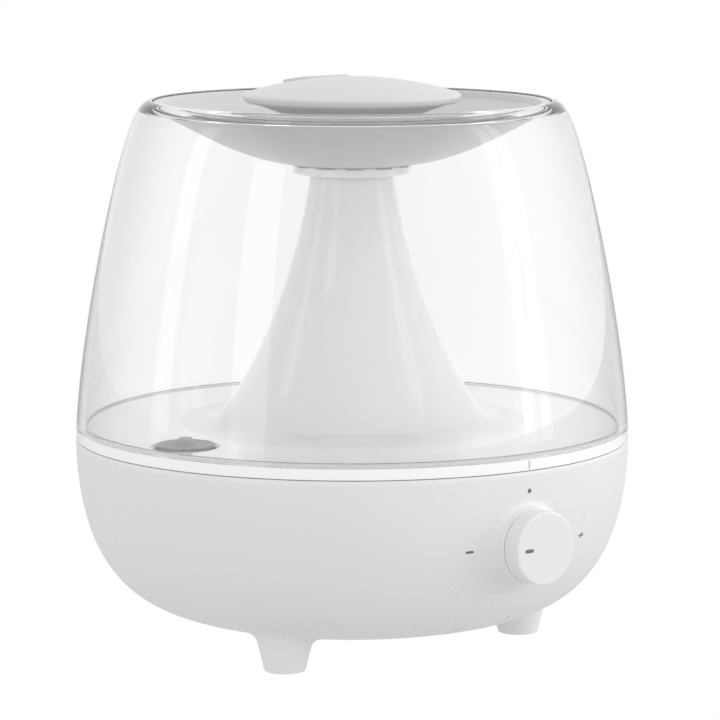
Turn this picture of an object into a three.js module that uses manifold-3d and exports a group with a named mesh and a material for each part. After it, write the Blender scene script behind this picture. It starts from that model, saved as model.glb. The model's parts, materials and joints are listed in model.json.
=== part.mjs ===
// Cool mist humidifier: a clear top-fill tank with a white chimney, standing on a round base.
// Millimetres, +Z up. The knob faces -Y, and the surface that the feet stand on is z = 0.
import * as THREE from "three";
import { mergeVertices } from "three/addons/utils/BufferGeometryUtils.js";
import Module from "manifold-3d";

const wasm = await Module();
wasm.setup();

// ---------------------------------------------------------------- driving dimensions
const GAP = 0.3; // between pieces that touch on the real object
const ROUND = 28; // sides of the large turned pieces
const SMALL = 12; // sides of screws, pins and other small turned pieces

const BASE = { radius: 120.6, widestZ: 94.7, depth: 83.3, sidePower: 5.16, floorPower: 2.3, wall: 2.6 };
const JOINT_Z = 90; // top edge of the base, where the tank stands on it
const FOOT = { ring: 74, bottomR: 8.9, topR: 12.6, height: 15, padR: 7.7, padThick: 1.9, padSunk: 1.3 };
const FOOT_ANGLES = [-30, 90, 210]; // degrees about Z, from +X
const KNOB = { z: 59.2, radius: 15.35, backY: -122.9, faceY: -131.4, bossR: 15.7, bossRootR: 19.7 };
const COVER = { radius: 56, tongueHalf: 12, tongueEnd: 95, screwRing: 50 };
const SCREW_ANGLES = [15, 165, 270];
const CLAMP_RING = 16.2;
const CLAMP_ANGLES = [30, 150, 270];
const BASIN = { rimR: 117.6, wall: 2.5, floorZ: 76.4, wellR: 22, wellZ: 58, rimTop: 89.7 };
const FAN = { x: 0, y: 38, half: 25, bottom: 18.5, height: 15, boreR: 23.5, hubR: 11.5 };
const RISER = { y: 62, innerR: 10, topZ: 87 };
const BOARD = { x: -74, halfX: 13, halfY: 30, z: 34, thick: 1.6 };
const BOARD_SCREWS = [-22, 22];
const SOCKET = { z: 32, faceY: 96, holeR: 5.2 };
const FLOAT = { x: 66, y: 40, postR: 2.5, radius: 9 };

const TANK = { footR: 120.33, wall: 3.5, footZ: 95.3, mouthR: 86.3, topZ: 236.6 };
const LEDGE = { radius: 83.6, z: 233.6 }; // where the lid's rim rests in the tank's mouth
const FLOOR = { bandTop: 95, top: 96.3, thick: 2.6, skirtR: 114.4, skirtWall: 2.4, skirtZ: 86 };
const CHIMNEY = { footR: 75, topR: 18, topZ: 205.5, bendZ: 98.6, wall: 2.2 };
const VALVE = { ring: 98.3, angle: -172.1, recessR: 14.5, seatZ: 92.6 };
const FLAP = { radius: 12.3, top: 97, thick: 1.8 }; // the disc that closes the valve

const DISH = { rimR: 86, rimTop: 235.9, wall: 2.2, innerR: 26.4, tubeR: 18.4, tubeTop: 233 };
const COLLAR = { radius: 25.8, innerR: 19.3, bottomZ: 204.3, topZ: 208.4, slots: 12, firstSlot: -94.5 };
const DOME = { apexZ: 246.5, curve: 0.00325, turnR: 44.5, lipR: 47.1, lipZ: 237.8, wall: 2 };
const OUTLET = { y: 25, halfLength: 17, halfWidth: 6.5, rim: 1.2 };

// ---------------------------------------------------------------- finishes
const finish = (color, roughness, metalness = 0, opacity = 1) => () =>
  new THREE.MeshStandardMaterial({ color, roughness, metalness, opacity, transparent: opacity < 1 });
const satinWhite = finish(0xf1f1f0, 0.45);
const glossWhite = finish(0xf4f4f4, 0.15);
const clear = finish(0xf6f8f9, 0.05, 0, 0.3);
const innerGrey = finish(0xc9cacb, 0.5);
const rubber = finish(0x9b9c9c, 0.75);
const darkRubber = finish(0x55575a, 0.8);
const steel = finish(0xb9bbbd, 0.35, 1);
const brass = finish(0xc7a35c, 0.3, 1);
const blackPlastic = finish(0x232426, 0.45);
const boardGreen = finish(0x2c6b45, 0.5);
const aluminium = finish(0xa9adb0, 0.4, 1);
const printGrey = finish(0x6d6e70, 0.6);

// ---------------------------------------------------------------- geometry helpers
const radians = THREE.MathUtils.degToRad;
const polar = (ring, degrees) => [ring * Math.cos(radians(degrees)), ring * Math.sin(radians(degrees))];

// A three.js geometry as a manifold solid: shared corners are merged and empty triangles dropped.
function solid(geometry) {
  const bare = geometry.index ? geometry.toNonIndexed() : geometry.clone();
  bare.deleteAttribute("normal");
  bare.deleteAttribute("uv");
  const merged = mergeVertices(bare, 1e-4);
  const index = merged.index.array;
  const kept = [];
  for (let i = 0; i < index.length; i += 3) {
    const [a, b, c] = [index[i], index[i + 1], index[i + 2]];
    if (a !== b && b !== c && c !== a) kept.push(a, b, c);
  }
  const mesh = new wasm.Mesh({
    numProp: 3,
    vertProperties: new Float32Array(merged.attributes.position.array),
    triVerts: new Uint32Array(kept),
  });
  return new wasm.Manifold(mesh);
}

const join = (first, ...others) => others.reduce((whole, piece) => whole.add(piece), first);
const cut = (first, ...others) => others.reduce((whole, piece) => whole.subtract(piece), first);

// A turned solid about Z from a closed profile of [radius, height] corners, in either sense.
function turned(profile, sides = ROUND) {
  let area = 0;
  profile.forEach(([r, z], i) => {
    const [nextR, nextZ] = profile[(i + 1) % profile.length];
    area += r * nextZ - nextR * z;
  });
  const corners = area > 0 ? [...profile] : [...profile].reverse();
  const points = [...corners, corners[0]].map(([r, z]) => new THREE.Vector2(r, z));
  return solid(new THREE.LatheGeometry(points, sides).rotateX(Math.PI / 2));
}

// A disc or ring standing on Z between two heights.
function disc(outerR, bottom, top, innerR = 0, sides = SMALL) {
  return turned([[innerR, bottom], [outerR, bottom], [outerR, top], [innerR, top]], sides);
}

// A solid turned about Z, laid over so that its height runs along -Y, with its axis at z = height.
const facingFront = (piece, height) => piece.rotate([90, 0, 0]).translate([0, 0, height]);
// The same, with its height running along +Y.
const facingBack = (piece, height) => piece.rotate([-90, 0, 0]).translate([0, 0, height]);

function block(sizeX, sizeY, sizeZ, x, y, z) {
  return solid(new THREE.BoxGeometry(sizeX, sizeY, sizeZ).translate(x, y, z));
}

// A flat outline pushed up from one height to another.
function extruded(shape, bottom, top, curveSegments = 8) {
  const settings = { depth: top - bottom, bevelEnabled: false, curveSegments };
  const geometry = new THREE.ExtrudeGeometry(shape, settings);
  return solid(geometry.translate(0, 0, bottom));
}

// A slot outline with round ends, centred on (x, y) and lying along X.
function slotShape(x, y, halfLength, halfWidth) {
  const shape = new THREE.Shape();
  const straight = halfLength - halfWidth;
  shape.absarc(x + straight, y, halfWidth, -Math.PI / 2, Math.PI / 2);
  shape.absarc(x - straight, y, halfWidth, Math.PI / 2, 1.5 * Math.PI);
  shape.closePath();
  return shape;
}

const curvePoints = (curve, steps) => curve.getPoints(steps).map(({ x, y }) => [x, y]);
const vector = ([r, z]) => new THREE.Vector2(r, z);
const bezier = (a, b, c, d, steps) =>
  curvePoints(new THREE.CubicBezierCurve(vector(a), vector(b), vector(c), vector(d)), steps);

// A profile moved sideways by a wall's thickness, to the left of its direction of travel.
function offset(points, distance) {
  return points.map((point, i) => {
    const before = points[Math.max(i - 1, 0)];
    const after = points[Math.min(i + 1, points.length - 1)];
    const [dr, dz] = [after[0] - before[0], after[1] - before[1]];
    const length = Math.hypot(dr, dz);
    return [point[0] - (dz / length) * distance, point[1] + (dr / length) * distance];
  });
}

// ---------------------------------------------------------------- the parts list
const humidifier = new THREE.Group();
const vessel = new THREE.Group(); // its origin is on the vessel's own axis
humidifier.add(vessel);
// The knob stands out in front, so the middle of the footprint is this far in front of the axis.
vessel.position.y = (-KNOB.faceY - BASE.radius) / 2;

function part(name, shape, material) {
  const { vertProperties, triVerts } = shape.getMesh();
  const geometry = new THREE.BufferGeometry();
  geometry.setAttribute("position", new THREE.BufferAttribute(new Float32Array(vertProperties), 3));
  geometry.setIndex(new THREE.BufferAttribute(new Uint32Array(triVerts), 1));
  geometry.computeVertexNormals();
  const mesh = new THREE.Mesh(geometry, material());
  mesh.name = name;
  vessel.add(mesh);
}

// ---------------------------------------------------------------- base: bowl, feet, boss, cover
// The bowl is a flattened round: radius and depth each follow a power of an angle's cosine and sine.
function bowlProfile(inset, steps = 9) {
  const points = [];
  const start = Math.asin(((BASE.widestZ - JOINT_Z) / (BASE.depth - inset)) ** (BASE.floorPower / 2));
  for (let i = 0; i <= steps; i += 1) {
    const angle = start + ((Math.PI / 2 - start) * i) / steps;
    const radius = (BASE.radius - inset) * Math.max(Math.cos(angle), 0) ** (2 / BASE.sidePower);
    const z = BASE.widestZ - (BASE.depth - inset) * Math.sin(angle) ** (2 / BASE.floorPower);
    points.push([i === steps ? 0 : radius, z]);
  }
  return points;
}
const bowlOuter = turned([...bowlProfile(0), [0, JOINT_Z]]);
const bowlInner = turned([
  ...bowlProfile(BASE.wall), [0, JOINT_Z + 1], [BASE.radius - BASE.wall, JOINT_Z + 1],
]);
const bowlSkin = cut(bowlOuter, bowlInner);

// The bottom cover's outline: a disc with a tongue towards the knob.
function coverOutline(shrink) {
  const radius = COVER.radius - shrink;
  const half = COVER.tongueHalf - shrink;
  const end = COVER.tongueEnd - shrink;
  const corner = 4;
  const meet = Math.asin(COVER.tongueHalf / COVER.radius);
  const root = COVER.radius * Math.cos(meet);
  const shape = new THREE.Shape();
  shape.absarc(0, 0, radius, -Math.PI / 2 + meet, 1.5 * Math.PI - meet);
  shape.lineTo(-half, -root);
  shape.lineTo(-half, -end + corner);
  shape.quadraticCurveTo(-half, -end, -half + corner, -end);
  shape.lineTo(half - corner, -end);
  shape.quadraticCurveTo(half, -end, half, -end + corner);
  shape.lineTo(half, -root);
  shape.closePath();
  return shape;
}

function baseShell() {
  const taper = (FOOT.topR - FOOT.bottomR) / FOOT.height;
  const footTop = 30;
  const feet = FOOT_ANGLES.map((angle) => {
    const [x, y] = polar(FOOT.ring, angle);
    const topR = FOOT.bottomR + taper * footTop;
    const leg = turned([[0, 0.6], [FOOT.bottomR, 0.6], [topR, footTop], [0, footTop]], 20);
    return leg.translate([x, y, 0]);
  });
  const boss = facingFront(
    turned([[0, 100], [22.5, 112], [KNOB.bossRootR, 117.5], [KNOB.bossR, 122.6], [0, 122.6]], 28),
    KNOB.z,
  );
  const standoffs = BOARD_SCREWS.map((y) => disc(3.5, 17, BOARD.z - GAP, 0).translate([BOARD.x, y, 0]));
  const inletTube = facingBack(disc(8.5, 92, 101, 0), SOCKET.z);
  const walls = cut(join(bowlOuter, ...feet, boss), bowlInner);
  const inside = join(inletTube, ...standoffs).intersect(bowlOuter);
  const padSeats = FOOT_ANGLES.map((angle) => {
    const [x, y] = polar(FOOT.ring, angle);
    return disc(FOOT.padR + GAP, 0, FOOT.padSunk + 0.6 + GAP, 0, 20).translate([x, y, 0]);
  });
  return cut(
    join(walls, inside),
    extruded(coverOutline(0), 0, 36, 14),
    facingFront(disc(10.5, 100, 117.8), KNOB.z),
    facingFront(disc(3.9, 100, 130), KNOB.z),
    facingBack(disc(SOCKET.holeR, 88, 112), SOCKET.z),
    ...padSeats,
  );
}
part("base_shell", baseShell(), satinWhite);

FOOT_ANGLES.forEach((angle, i) => {
  const [x, y] = polar(FOOT.ring, angle);
  part(`foot_pad_${i + 1}`, disc(FOOT.padR, 0, FOOT.padThick, 0, 20).translate([x, y, 0]), darkRubber);
});

function bottomCover() {
  const slots = [-3, -2, -1, 0, 1, 2, 3].map((row) => {
    const y = FAN.y - 8 + row * 6;
    const half = Math.sqrt(Math.max(22 ** 2 - (row * 6) ** 2, 60));
    return extruded(slotShape(0, y, half, 1.4), 0, 26, 2);
  });
  const screwHoles = SCREW_ANGLES.map((angle) => {
    const [x, y] = polar(COVER.screwRing, angle);
    return disc(2.1, 0, 26).translate([x, y, 0]);
  });
  return cut(bowlSkin.intersect(extruded(coverOutline(GAP), 0, 36, 14)), ...slots, ...screwHoles);
}
part("bottom_cover", bottomCover(), satinWhite);

// A pan-head screw pointing up, with its head's underside at z = 0 and a slot in the head.
function screw(headR, shankR, length, headThick = 1.6) {
  const body = turned(
    [[0, -headThick], [headR * 0.8, -headThick], [headR, -headThick * 0.4], [headR, 0],
      [shankR, 0], [shankR, length], [0, length]],
    8,
  );
  return cut(body, block(headR * 1.1, 0.6, 1, 0, 0, -headThick));
}
SCREW_ANGLES.forEach((angle, i) => {
  const [x, y] = polar(COVER.screwRing, angle);
  part(`cover_screw_${i + 1}`, screw(3.2, 1.5, 12).translate([x, y, 11.3]), steel);
});

// ---------------------------------------------------------------- base: water basin and float
const basinUnder = BASIN.floorZ - BASIN.wall;
const wellOut = BASIN.wellR + BASIN.wall;
const wellUnder = BASIN.wellZ - 2.4;

// The basin's floor and rim, with the post that opens the valve and the float's post.
function basin() {
  const inner = BASIN.rimR - BASIN.wall;
  const shell = turned([
    [wellOut + GAP, basinUnder], [inner - 3, basinUnder], [BASIN.rimR - 1, basinUnder + 4], [BASIN.rimR, 84],
    [BASIN.rimR, BASIN.rimTop], [inner, BASIN.rimTop], [inner, BASIN.floorZ + 4], [inner - 4, BASIN.floorZ],
    [wellOut + GAP, BASIN.floorZ],
  ]);
  const [valveX, valveY] = polar(VALVE.ring, VALVE.angle);
  const valvePost = turned([[0, basinUnder + 1], [4.5, basinUnder + 1], [3, 79.7], [0, 79.7]], 12);
  const floatPost = disc(FLOAT.postR, basinUnder + 1, 89.4, 0, 12).translate([FLOAT.x, FLOAT.y, 0]);
  return cut(
    join(shell, valvePost.translate([valveX, valveY, 0]), floatPost),
    disc(RISER.innerR + 2 + GAP, basinUnder - 1, BASIN.floorZ + 1, 0, 20).translate([0, RISER.y, 0]),
  );
}
part("water_basin", basin(), glossWhite);

// The well in the middle of the basin, over the mist maker.
function mistWell() {
  const cup = turned([
    [0, wellUnder], [wellOut - 3, wellUnder], [wellOut, wellUnder + 3], [wellOut, BASIN.floorZ],
    [BASIN.wellR + 1.5, BASIN.floorZ], [BASIN.wellR, BASIN.floorZ - 1.5],
    [BASIN.wellR, BASIN.wellZ + 3], [BASIN.wellR - 3, BASIN.wellZ], [0, BASIN.wellZ],
  ]);
  const clampPilots = CLAMP_ANGLES.map((angle) => {
    const [x, y] = polar(CLAMP_RING, angle);
    return disc(1.5, wellUnder - 1, wellUnder + 1.8, 0, 10).translate([x, y, 0]);
  });
  return cut(cup, disc(9, wellUnder - 1, BASIN.wellZ + 1), ...clampPilots);
}
part("mist_well", mistWell(), glossWhite);
part(
  "air_riser",
  disc(RISER.innerR + 2, basinUnder, RISER.topZ, RISER.innerR, 20).translate([0, RISER.y, 0]),
  glossWhite,
);

// The pillars that the cover's screws hold on to.
SCREW_ANGLES.forEach((angle, i) => {
  const [x, y] = polar(COVER.screwRing, angle);
  const top = basinUnder - GAP;
  const pillar = turned([[0, 15.2], [3.6, 15.2], [4.6, top], [0, top]], 12);
  part(`basin_pillar_${i + 1}`, cut(pillar, disc(1.5 + GAP, 14, 25)).translate([x, y, 0]), glossWhite);
});

const onPost = (piece) => piece.translate([FLOAT.x, FLOAT.y, 0]);
part("level_float", onPost(disc(FLOAT.radius, 76.8, 81.8, FLOAT.postR + 0.5, 20)), innerGrey);
part("float_clip", onPost(disc(4.6, 87.6, 89.2, FLOAT.postR + GAP, 12)), glossWhite);

// ---------------------------------------------------------------- base: mist maker under the well
part("transducer_gasket", disc(12.5, 54, 55.3, 8.5, 24), rubber);
part("transducer_disc", disc(12.2, 52.5, 53.7, 0, 24), brass);
part(
  "transducer_clamp",
  cut(
    turned([[7.5, 50.2], [19, 50.2], [19, 55.3], [12.9, 55.3], [12.9, 52.2], [7.5, 52.2]], 24),
    ...CLAMP_ANGLES.map((angle) => disc(1.6, 49, 56, 0, 10).translate([...polar(CLAMP_RING, angle), 0])),
  ),
  innerGrey,
);
CLAMP_ANGLES.forEach((angle, i) => {
  part(`clamp_screw_${i + 1}`, screw(2.6, 1.2, 7.2).translate([...polar(CLAMP_RING, angle), 49.9]), steel);
});

// ---------------------------------------------------------------- base: fan and air duct
const atFan = (piece) => piece.translate([FAN.x, FAN.y, 0]);
const fanHoles = (radius, bottom, top) =>
  fanCorners().map(([x, y]) => disc(radius, bottom, top, 0, 10).translate([x, y, 0]));

function fanFrame() {
  const { x, y, half, bottom, height, boreR } = FAN;
  const shell = block(2 * half, 2 * half, height, x, y, bottom + height / 2);
  const bore = disc(boreR, bottom - 1, bottom + height + 1, 0, 28).translate([x, y, 0]);
  const struts = [90, 210, 330].map((angle) => {
    const strut = block(16, 3, 2, 16.5, 0, bottom + 1);
    return strut.rotate([0, 0, angle]).translate([x, y, 0]);
  });
  const mount = disc(10, bottom, bottom + 2, 0, 20).translate([x, y, 0]);
  const holes = fanHoles(1.9, bottom - 1, bottom + height + 1);
  return join(cut(shell, bore, ...holes), mount, ...struts);
}
function fanCorners() {
  const reach = FAN.half - 4;
  return [[1, 1], [-1, 1], [-1, -1], [1, -1]].map(([sx, sy]) => [FAN.x + sx * reach, FAN.y + sy * reach]);
}
part("fan_frame", fanFrame(), blackPlastic);

function fanImpeller() {
  const bottom = FAN.bottom + 2.6;
  const top = FAN.bottom + FAN.height - 0.8;
  const hub = turned(
    [[0, top], [FAN.hubR - 1, top], [FAN.hubR, top - 1], [FAN.hubR, bottom], [FAN.hubR - 1.3, bottom],
      [FAN.hubR - 1.3, top - 1.6], [0, top - 1.6]],
    24,
  );
  const blades = Array.from({ length: 7 }, (_, i) => {
    const blade = block(12, 1.2, 11, FAN.hubR + 5.4, 0, 0).rotate([38, 0, 0]);
    return blade.rotate([0, 0, (i * 360) / 7]).translate([0, 0, (bottom + top) / 2]);
  });
  return join(hub, ...blades).translate([FAN.x, FAN.y, 0]);
}
part("fan_impeller", fanImpeller(), blackPlastic);
part("fan_motor", atFan(disc(9.6, FAN.bottom + 2.3, FAN.bottom + 12.2, 0, 20)), steel);

fanCorners().forEach(([x, y], i) => {
  part(`fan_screw_${i + 1}`, screw(2.9, 1.4, 17.4).translate([x, y, FAN.bottom - GAP]), steel);
});

function airDuct() {
  const bottom = FAN.bottom + FAN.height + GAP;
  const flangeTop = bottom + 2.4;
  const top = BASIN.floorZ - BASIN.wall - GAP;
  const wall = 1.8;
  const cone = (lowR, highR, low, high) => turned([[0, low], [lowR, low], [highR, high], [0, high]], 28);
  const lean = (RISER.y - FAN.y) / (top - flangeTop);
  const sheared = (piece) => {
    const leaning = new THREE.Matrix4().makeShear(0, 0, 0, 0, 0, lean).setPosition(0, -lean * flangeTop, 0);
    return atFan(piece.transform(leaning.elements));
  };
  const flange = atFan(block(2 * FAN.half, 2 * FAN.half, flangeTop - bottom, 0, 0, (bottom + flangeTop) / 2));
  const reach = 0.02;
  const outer = sheared(cone(FAN.boreR, RISER.innerR + wall, flangeTop - reach, top));
  const inner = sheared(cone(FAN.boreR - wall, RISER.innerR, flangeTop - 2 * reach, top + reach));
  const mouth = atFan(disc(FAN.boreR - wall, bottom - 1, flangeTop + reach, 0, 28));
  const holes = fanHoles(1.4 + GAP, bottom - 1, flangeTop + 1);
  return cut(join(flange, outer), inner, mouth, ...holes);
}
part("air_duct", airDuct(), innerGrey);

// ---------------------------------------------------------------- base: electronics
function driverBoard() {
  const plate = block(2 * BOARD.halfX, 2 * BOARD.halfY, BOARD.thick, BOARD.x, 0, BOARD.z + BOARD.thick / 2);
  const hole = disc(1.7, BOARD.z - 1, BOARD.z + 4, 0, 10);
  const holes = BOARD_SCREWS.map((y) => hole.translate([BOARD.x, y, 0]));
  return cut(plate, ...holes);
}
part("driver_board", driverBoard(), boardGreen);
const onBoard = BOARD.z + BOARD.thick + GAP;
BOARD_SCREWS.forEach((y, i) => {
  const flipped = screw(2.6, 1.3, 1.4).rotate([180, 0, 0]);
  part(`board_screw_${i + 1}`, flipped.translate([BOARD.x, y, onBoard]), steel);
});

function heatSink() {
  const foot = block(16, 22, 2, BOARD.x - 3, 0, onBoard + 1);
  const fins = [-10, -5, 0, 5, 10].map((y) => block(16, 1.4, 12, BOARD.x - 3, y, onBoard + 7.9));
  return join(foot, ...fins);
}
part("heat_sink", heatSink(), aluminium);
const atRoundPart = (piece, y) => piece.translate([BOARD.x + 9, y, 0]);
part("drive_coil", atRoundPart(disc(4, onBoard, onBoard + 9, 0, 16), 12), innerGrey);
part("smoothing_capacitor", atRoundPart(disc(3.6, onBoard, onBoard + 12, 0, 16), -12), blackPlastic);

function dcSocket() {
  const barrel = facingBack(disc(SOCKET.holeR - GAP, 84, SOCKET.faceY, 0), SOCKET.z);
  const body = block(10, 12, 11, 0, 86, SOCKET.z);
  const bore = facingBack(disc(2.8, 86, SOCKET.faceY + 1, 0), SOCKET.z);
  const pin = facingBack(disc(1, 85, SOCKET.faceY - 0.8, 0, 8), SOCKET.z);
  return join(cut(join(barrel, body), bore), pin);
}
part("dc_socket", dcSocket(), blackPlastic);

// ---------------------------------------------------------------- control: potentiometer and knob
const potentiometer = cut(
  join(disc(9, 109, 117.5, 0, 20), disc(3.5, 117, 124.8)),
  disc(3.1, 112, 126, 0, 14),
);
part("potentiometer", facingFront(potentiometer, KNOB.z), aluminium);
part("shaft_nut", facingFront(cut(disc(5.6, 122.9, 124.8, 0, 6), disc(3.9, 122, 126)), KNOB.z), steel);
part("knob_shaft", facingFront(disc(2.8, 112.3, 128.2, 0, 14), KNOB.z), aluminium);

function knob() {
  const back = -KNOB.backY;
  const face = -KNOB.faceY;
  const rounding = 0.9;
  const body = turned(
    [[3.1, back + 3], [4.9, back + 3], [4.9, face - 2.4], [KNOB.radius - 2.2, face - 2.4],
      [KNOB.radius - 2.2, back], [KNOB.radius, back], [KNOB.radius, face - rounding],
      [KNOB.radius - 0.27, face - 0.27], [KNOB.radius - rounding, face],
      [0, face], [0, face - 2.4], [3.1, face - 2.4]],
    28,
  );
  const seat = block(4.6 + 2 * GAP, 2, 1.4 + 2 * GAP, -8.9, KNOB.faceY, 0);
  return cut(body.rotate([90, 0, 0]), seat).translate([0, 0, KNOB.z]);
}
part("control_knob", knob(), satinWhite);
part("knob_pointer", block(4.6, 0.7, 1.4, -8.9, KNOB.faceY + 0.35, KNOB.z), printGrey);

// ---------------------------------------------------------------- tank
function tankShell() {
  const wallTop = [94.8, 228];
  const side = bezier([TANK.footR, TANK.footZ], [118.3, 135.7], [103, 209.2], wallTop, 6);
  const mouth = [TANK.mouthR + 0.6, TANK.topZ];
  const shoulder = bezier(wallTop, [93.1, 232], [90.6, TANK.topZ - 0.3], mouth, 3).slice(1);
  const inner = offset([...side, ...shoulder.slice(0, 1)], TANK.wall).reverse();
  inner[inner.length - 1] = [TANK.footR - TANK.wall, TANK.footZ];
  const ledge = [
    [TANK.mouthR, TANK.topZ - 0.6], [TANK.mouthR, LEDGE.z], [LEDGE.radius, LEDGE.z],
    [LEDGE.radius, LEDGE.z - 2], [LEDGE.radius + 3, LEDGE.z - 2.6],
  ];
  return turned([...side, ...shoulder, ...ledge, ...inner]);
}
part("tank_shell", tankShell(), clear);

const [valveX, valveY] = polar(VALVE.ring, VALVE.angle);
const atValve = (piece) => piece.translate([valveX, valveY, 0]);

const floorUnder = FLOOR.top - FLOOR.thick;

// The floor, with its outer band, the skirt that drops into the basin, and the sunk seat of the valve.
function tankFloor() {
  const skirtIn = FLOOR.skirtR - FLOOR.skirtWall;
  const plate = turned([
    [CHIMNEY.footR + GAP, FLOOR.top], [TANK.footR - TANK.wall - GAP, FLOOR.top],
    [TANK.footR - TANK.wall - GAP, FLOOR.bandTop], [TANK.footR, FLOOR.bandTop], [TANK.footR, JOINT_Z + GAP],
    [FLOOR.skirtR, JOINT_Z + GAP], [FLOOR.skirtR, FLOOR.skirtZ], [skirtIn, FLOOR.skirtZ],
    [skirtIn, floorUnder], [CHIMNEY.footR + GAP, floorUnder],
  ]);
  const thickening = atValve(
    turned([[0, 91], [14, 91], [16.5, floorUnder + 0.5], [0, floorUnder + 0.5]], 28),
  );
  const recess = atValve(
    turned([[0, VALVE.seatZ], [VALVE.recessR - 1.2, VALVE.seatZ], [VALVE.recessR - 1.2, FLOOR.top - 1.2],
      [VALVE.recessR, FLOOR.top], [VALVE.recessR, FLOOR.top + 1], [0, FLOOR.top + 1]], 28),
  );
  const waterWays = [0, 90, 180, 270].map((angle) => {
    const [x, y] = polar(6.8, angle);
    return atValve(disc(2.1, 90, VALVE.seatZ + 1, 0, 12).translate([x, y, 0]));
  });
  return cut(join(plate, thickening), recess, ...waterWays, atValve(disc(2.5, 90, 94, 0, 12)));
}
part("tank_floor", tankFloor(), glossWhite);

// The chimney: a flare that runs out level with the floor, welded to the floor round its foot.
function chimney() {
  const flare = bezier([CHIMNEY.topR, CHIMNEY.topZ], [26.3, 142.9], [55.4, 96.8], [62.4, FLOOR.top], 12);
  const upper = flare.filter(([, z]) => z > CHIMNEY.bendZ);
  const foot = bezier(upper[upper.length - 1], [60.5, 97.2], [67, FLOOR.top], [CHIMNEY.footR, FLOOR.top], 3);
  const outside = [...upper, ...foot.slice(1)];
  const bore = offset(outside, -CHIMNEY.wall);
  bore[0] = [CHIMNEY.topR - CHIMNEY.wall, CHIMNEY.topZ];
  bore[bore.length - 1] = [CHIMNEY.footR, FLOOR.top - CHIMNEY.wall];
  return turned([...outside, ...bore.reverse()]);
}
part("tank_chimney", chimney(), glossWhite);

const sealR = TANK.footR - TANK.wall - GAP;
part("tank_seal", disc(sealR, FLOOR.top + GAP, FLOOR.top + GAP + 0.8, sealR - 1, ROUND), rubber);

// The valve is held open by the basin's post. Its spring closes it as the tank is lifted.
part("valve_disc", atValve(disc(FLAP.radius, FLAP.top - FLAP.thick, FLAP.top, 2.4, 28)), rubber);
part(
  "valve_stem",
  atValve(turned([[0, 80], [2, 80], [2, 97.3], [3.35, 97.3], [3.35, 98.2], [2.6, 98.7], [0, 98.7]], 14)),
  innerGrey,
);
part("valve_retainer", atValve(disc(4.8, 81, 82.6, 2.3, 14)), innerGrey);

// The spring's centre line: four turns round the stem.
class Helix extends THREE.Curve {
  getPoint(t, target = new THREE.Vector3()) {
    const angle = 2 * Math.PI * 4 * t;
    return target.set(3.4 * Math.cos(angle), 3.4 * Math.sin(angle), THREE.MathUtils.lerp(83.4, 90.2, t));
  }
}
const wire = new THREE.Shape();
wire.absarc(0, 0, 0.35, 0, 2 * Math.PI);
const spring = new THREE.ExtrudeGeometry(wire, {
  steps: 36, extrudePath: new Helix(), bevelEnabled: false, curveSegments: 2,
});
part("valve_spring", atValve(solid(spring)), steel);

// ---------------------------------------------------------------- lid
function lidDish() {
  const rimIn = LEDGE.radius - 0.6;
  const rimUnder = LEDGE.z + GAP;
  const under = bezier([rimIn, 231.6], [70, 224], [48, 210.3], [DISH.innerR, 208.6], 5);
  const top = offset(under, -DISH.wall).reverse();
  top[0] = [DISH.innerR, 208.6 + DISH.wall];
  top[top.length - 1] = [rimIn - 1, DISH.rimTop - 1.2];
  return turned([
    [DISH.rimR, rimUnder], [rimIn, rimUnder], ...under, ...top, [rimIn - 0.4, DISH.rimTop],
    [DISH.rimR - 0.5, DISH.rimTop], [DISH.rimR, DISH.rimTop - 0.5],
  ]);
}
part("lid_dish", lidDish(), satinWhite);

// The tube that the mist rises through, held in the middle of the dish by six spokes.
const collarAngles = (first, count) => Array.from({ length: count }, (_, i) => first + (i * 360) / count);
function mistTube() {
  const tube = disc(DISH.tubeR, 206.2, DISH.tubeTop, DISH.tubeR - 2, 28);
  const end = DISH.innerR - GAP - 0.2;
  const start = DISH.tubeR - 0.8;
  const spokes = collarAngles(COLLAR.firstSlot + 15, 6).map((angle) => {
    const spoke = block(end - start, 2.2, 2, (end + start) / 2, 0, 210);
    return spoke.rotate([0, 0, angle]);
  });
  return join(tube, ...spokes);
}
part("mist_tube", mistTube(), satinWhite);

// The strainer ring under the dish: water runs in between its teeth.
function strainerRing() {
  const ring = disc(COLLAR.radius, COLLAR.bottomZ, COLLAR.topZ - 2.2, COLLAR.innerR, 24);
  const teeth = disc(COLLAR.radius, COLLAR.topZ - 2.3, COLLAR.topZ, COLLAR.radius - 2.2, 24);
  const gaps = collarAngles(COLLAR.firstSlot, COLLAR.slots).map((angle) =>
    block(8, 8, 2.4, COLLAR.radius - 1, 0, COLLAR.topZ - 0.9).rotate([0, 0, angle]),
  );
  return join(ring, cut(teeth, ...gaps));
}
part("strainer_ring", strainerRing(), satinWhite);

// ---------------------------------------------------------------- mist nozzle
function nozzleDome() {
  const crown = (inset) =>
    Array.from({ length: 5 }, (_, i) => {
      const r = ((DOME.turnR - inset) * i) / 4;
      return [r, DOME.apexZ - inset - DOME.curve * r * r];
    });
  const lipEnd = [DOME.lipR, DOME.lipZ];
  const lip = bezier(crown(0)[4], [46.6, 239.6], [DOME.lipR + 0.3, 238.4], lipEnd, 3).slice(1);
  const shell = turned([
    ...crown(0), ...lip, [46.4, 236.3], [45, 236.1], [44.6, 237.4], ...crown(DOME.wall).reverse(),
  ]);
  const rimTop = DOME.apexZ - DOME.curve * (OUTLET.y - OUTLET.halfWidth) ** 2;
  const slot = (inset) => slotShape(0, OUTLET.y, OUTLET.halfLength - inset, OUTLET.halfWidth - inset);
  const rimBlock = extruded(slot(0), 230, rimTop + 2, 4);
  const raisedSkin = turned([...crown(-OUTLET.rim), [DOME.turnR, 239], ...crown(DOME.wall * 0.9).reverse()]);
  const opening = extruded(slot(1.6), 230, 255, 4);
  return cut(join(shell, rimBlock.intersect(raisedSkin)), opening);
}
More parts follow.
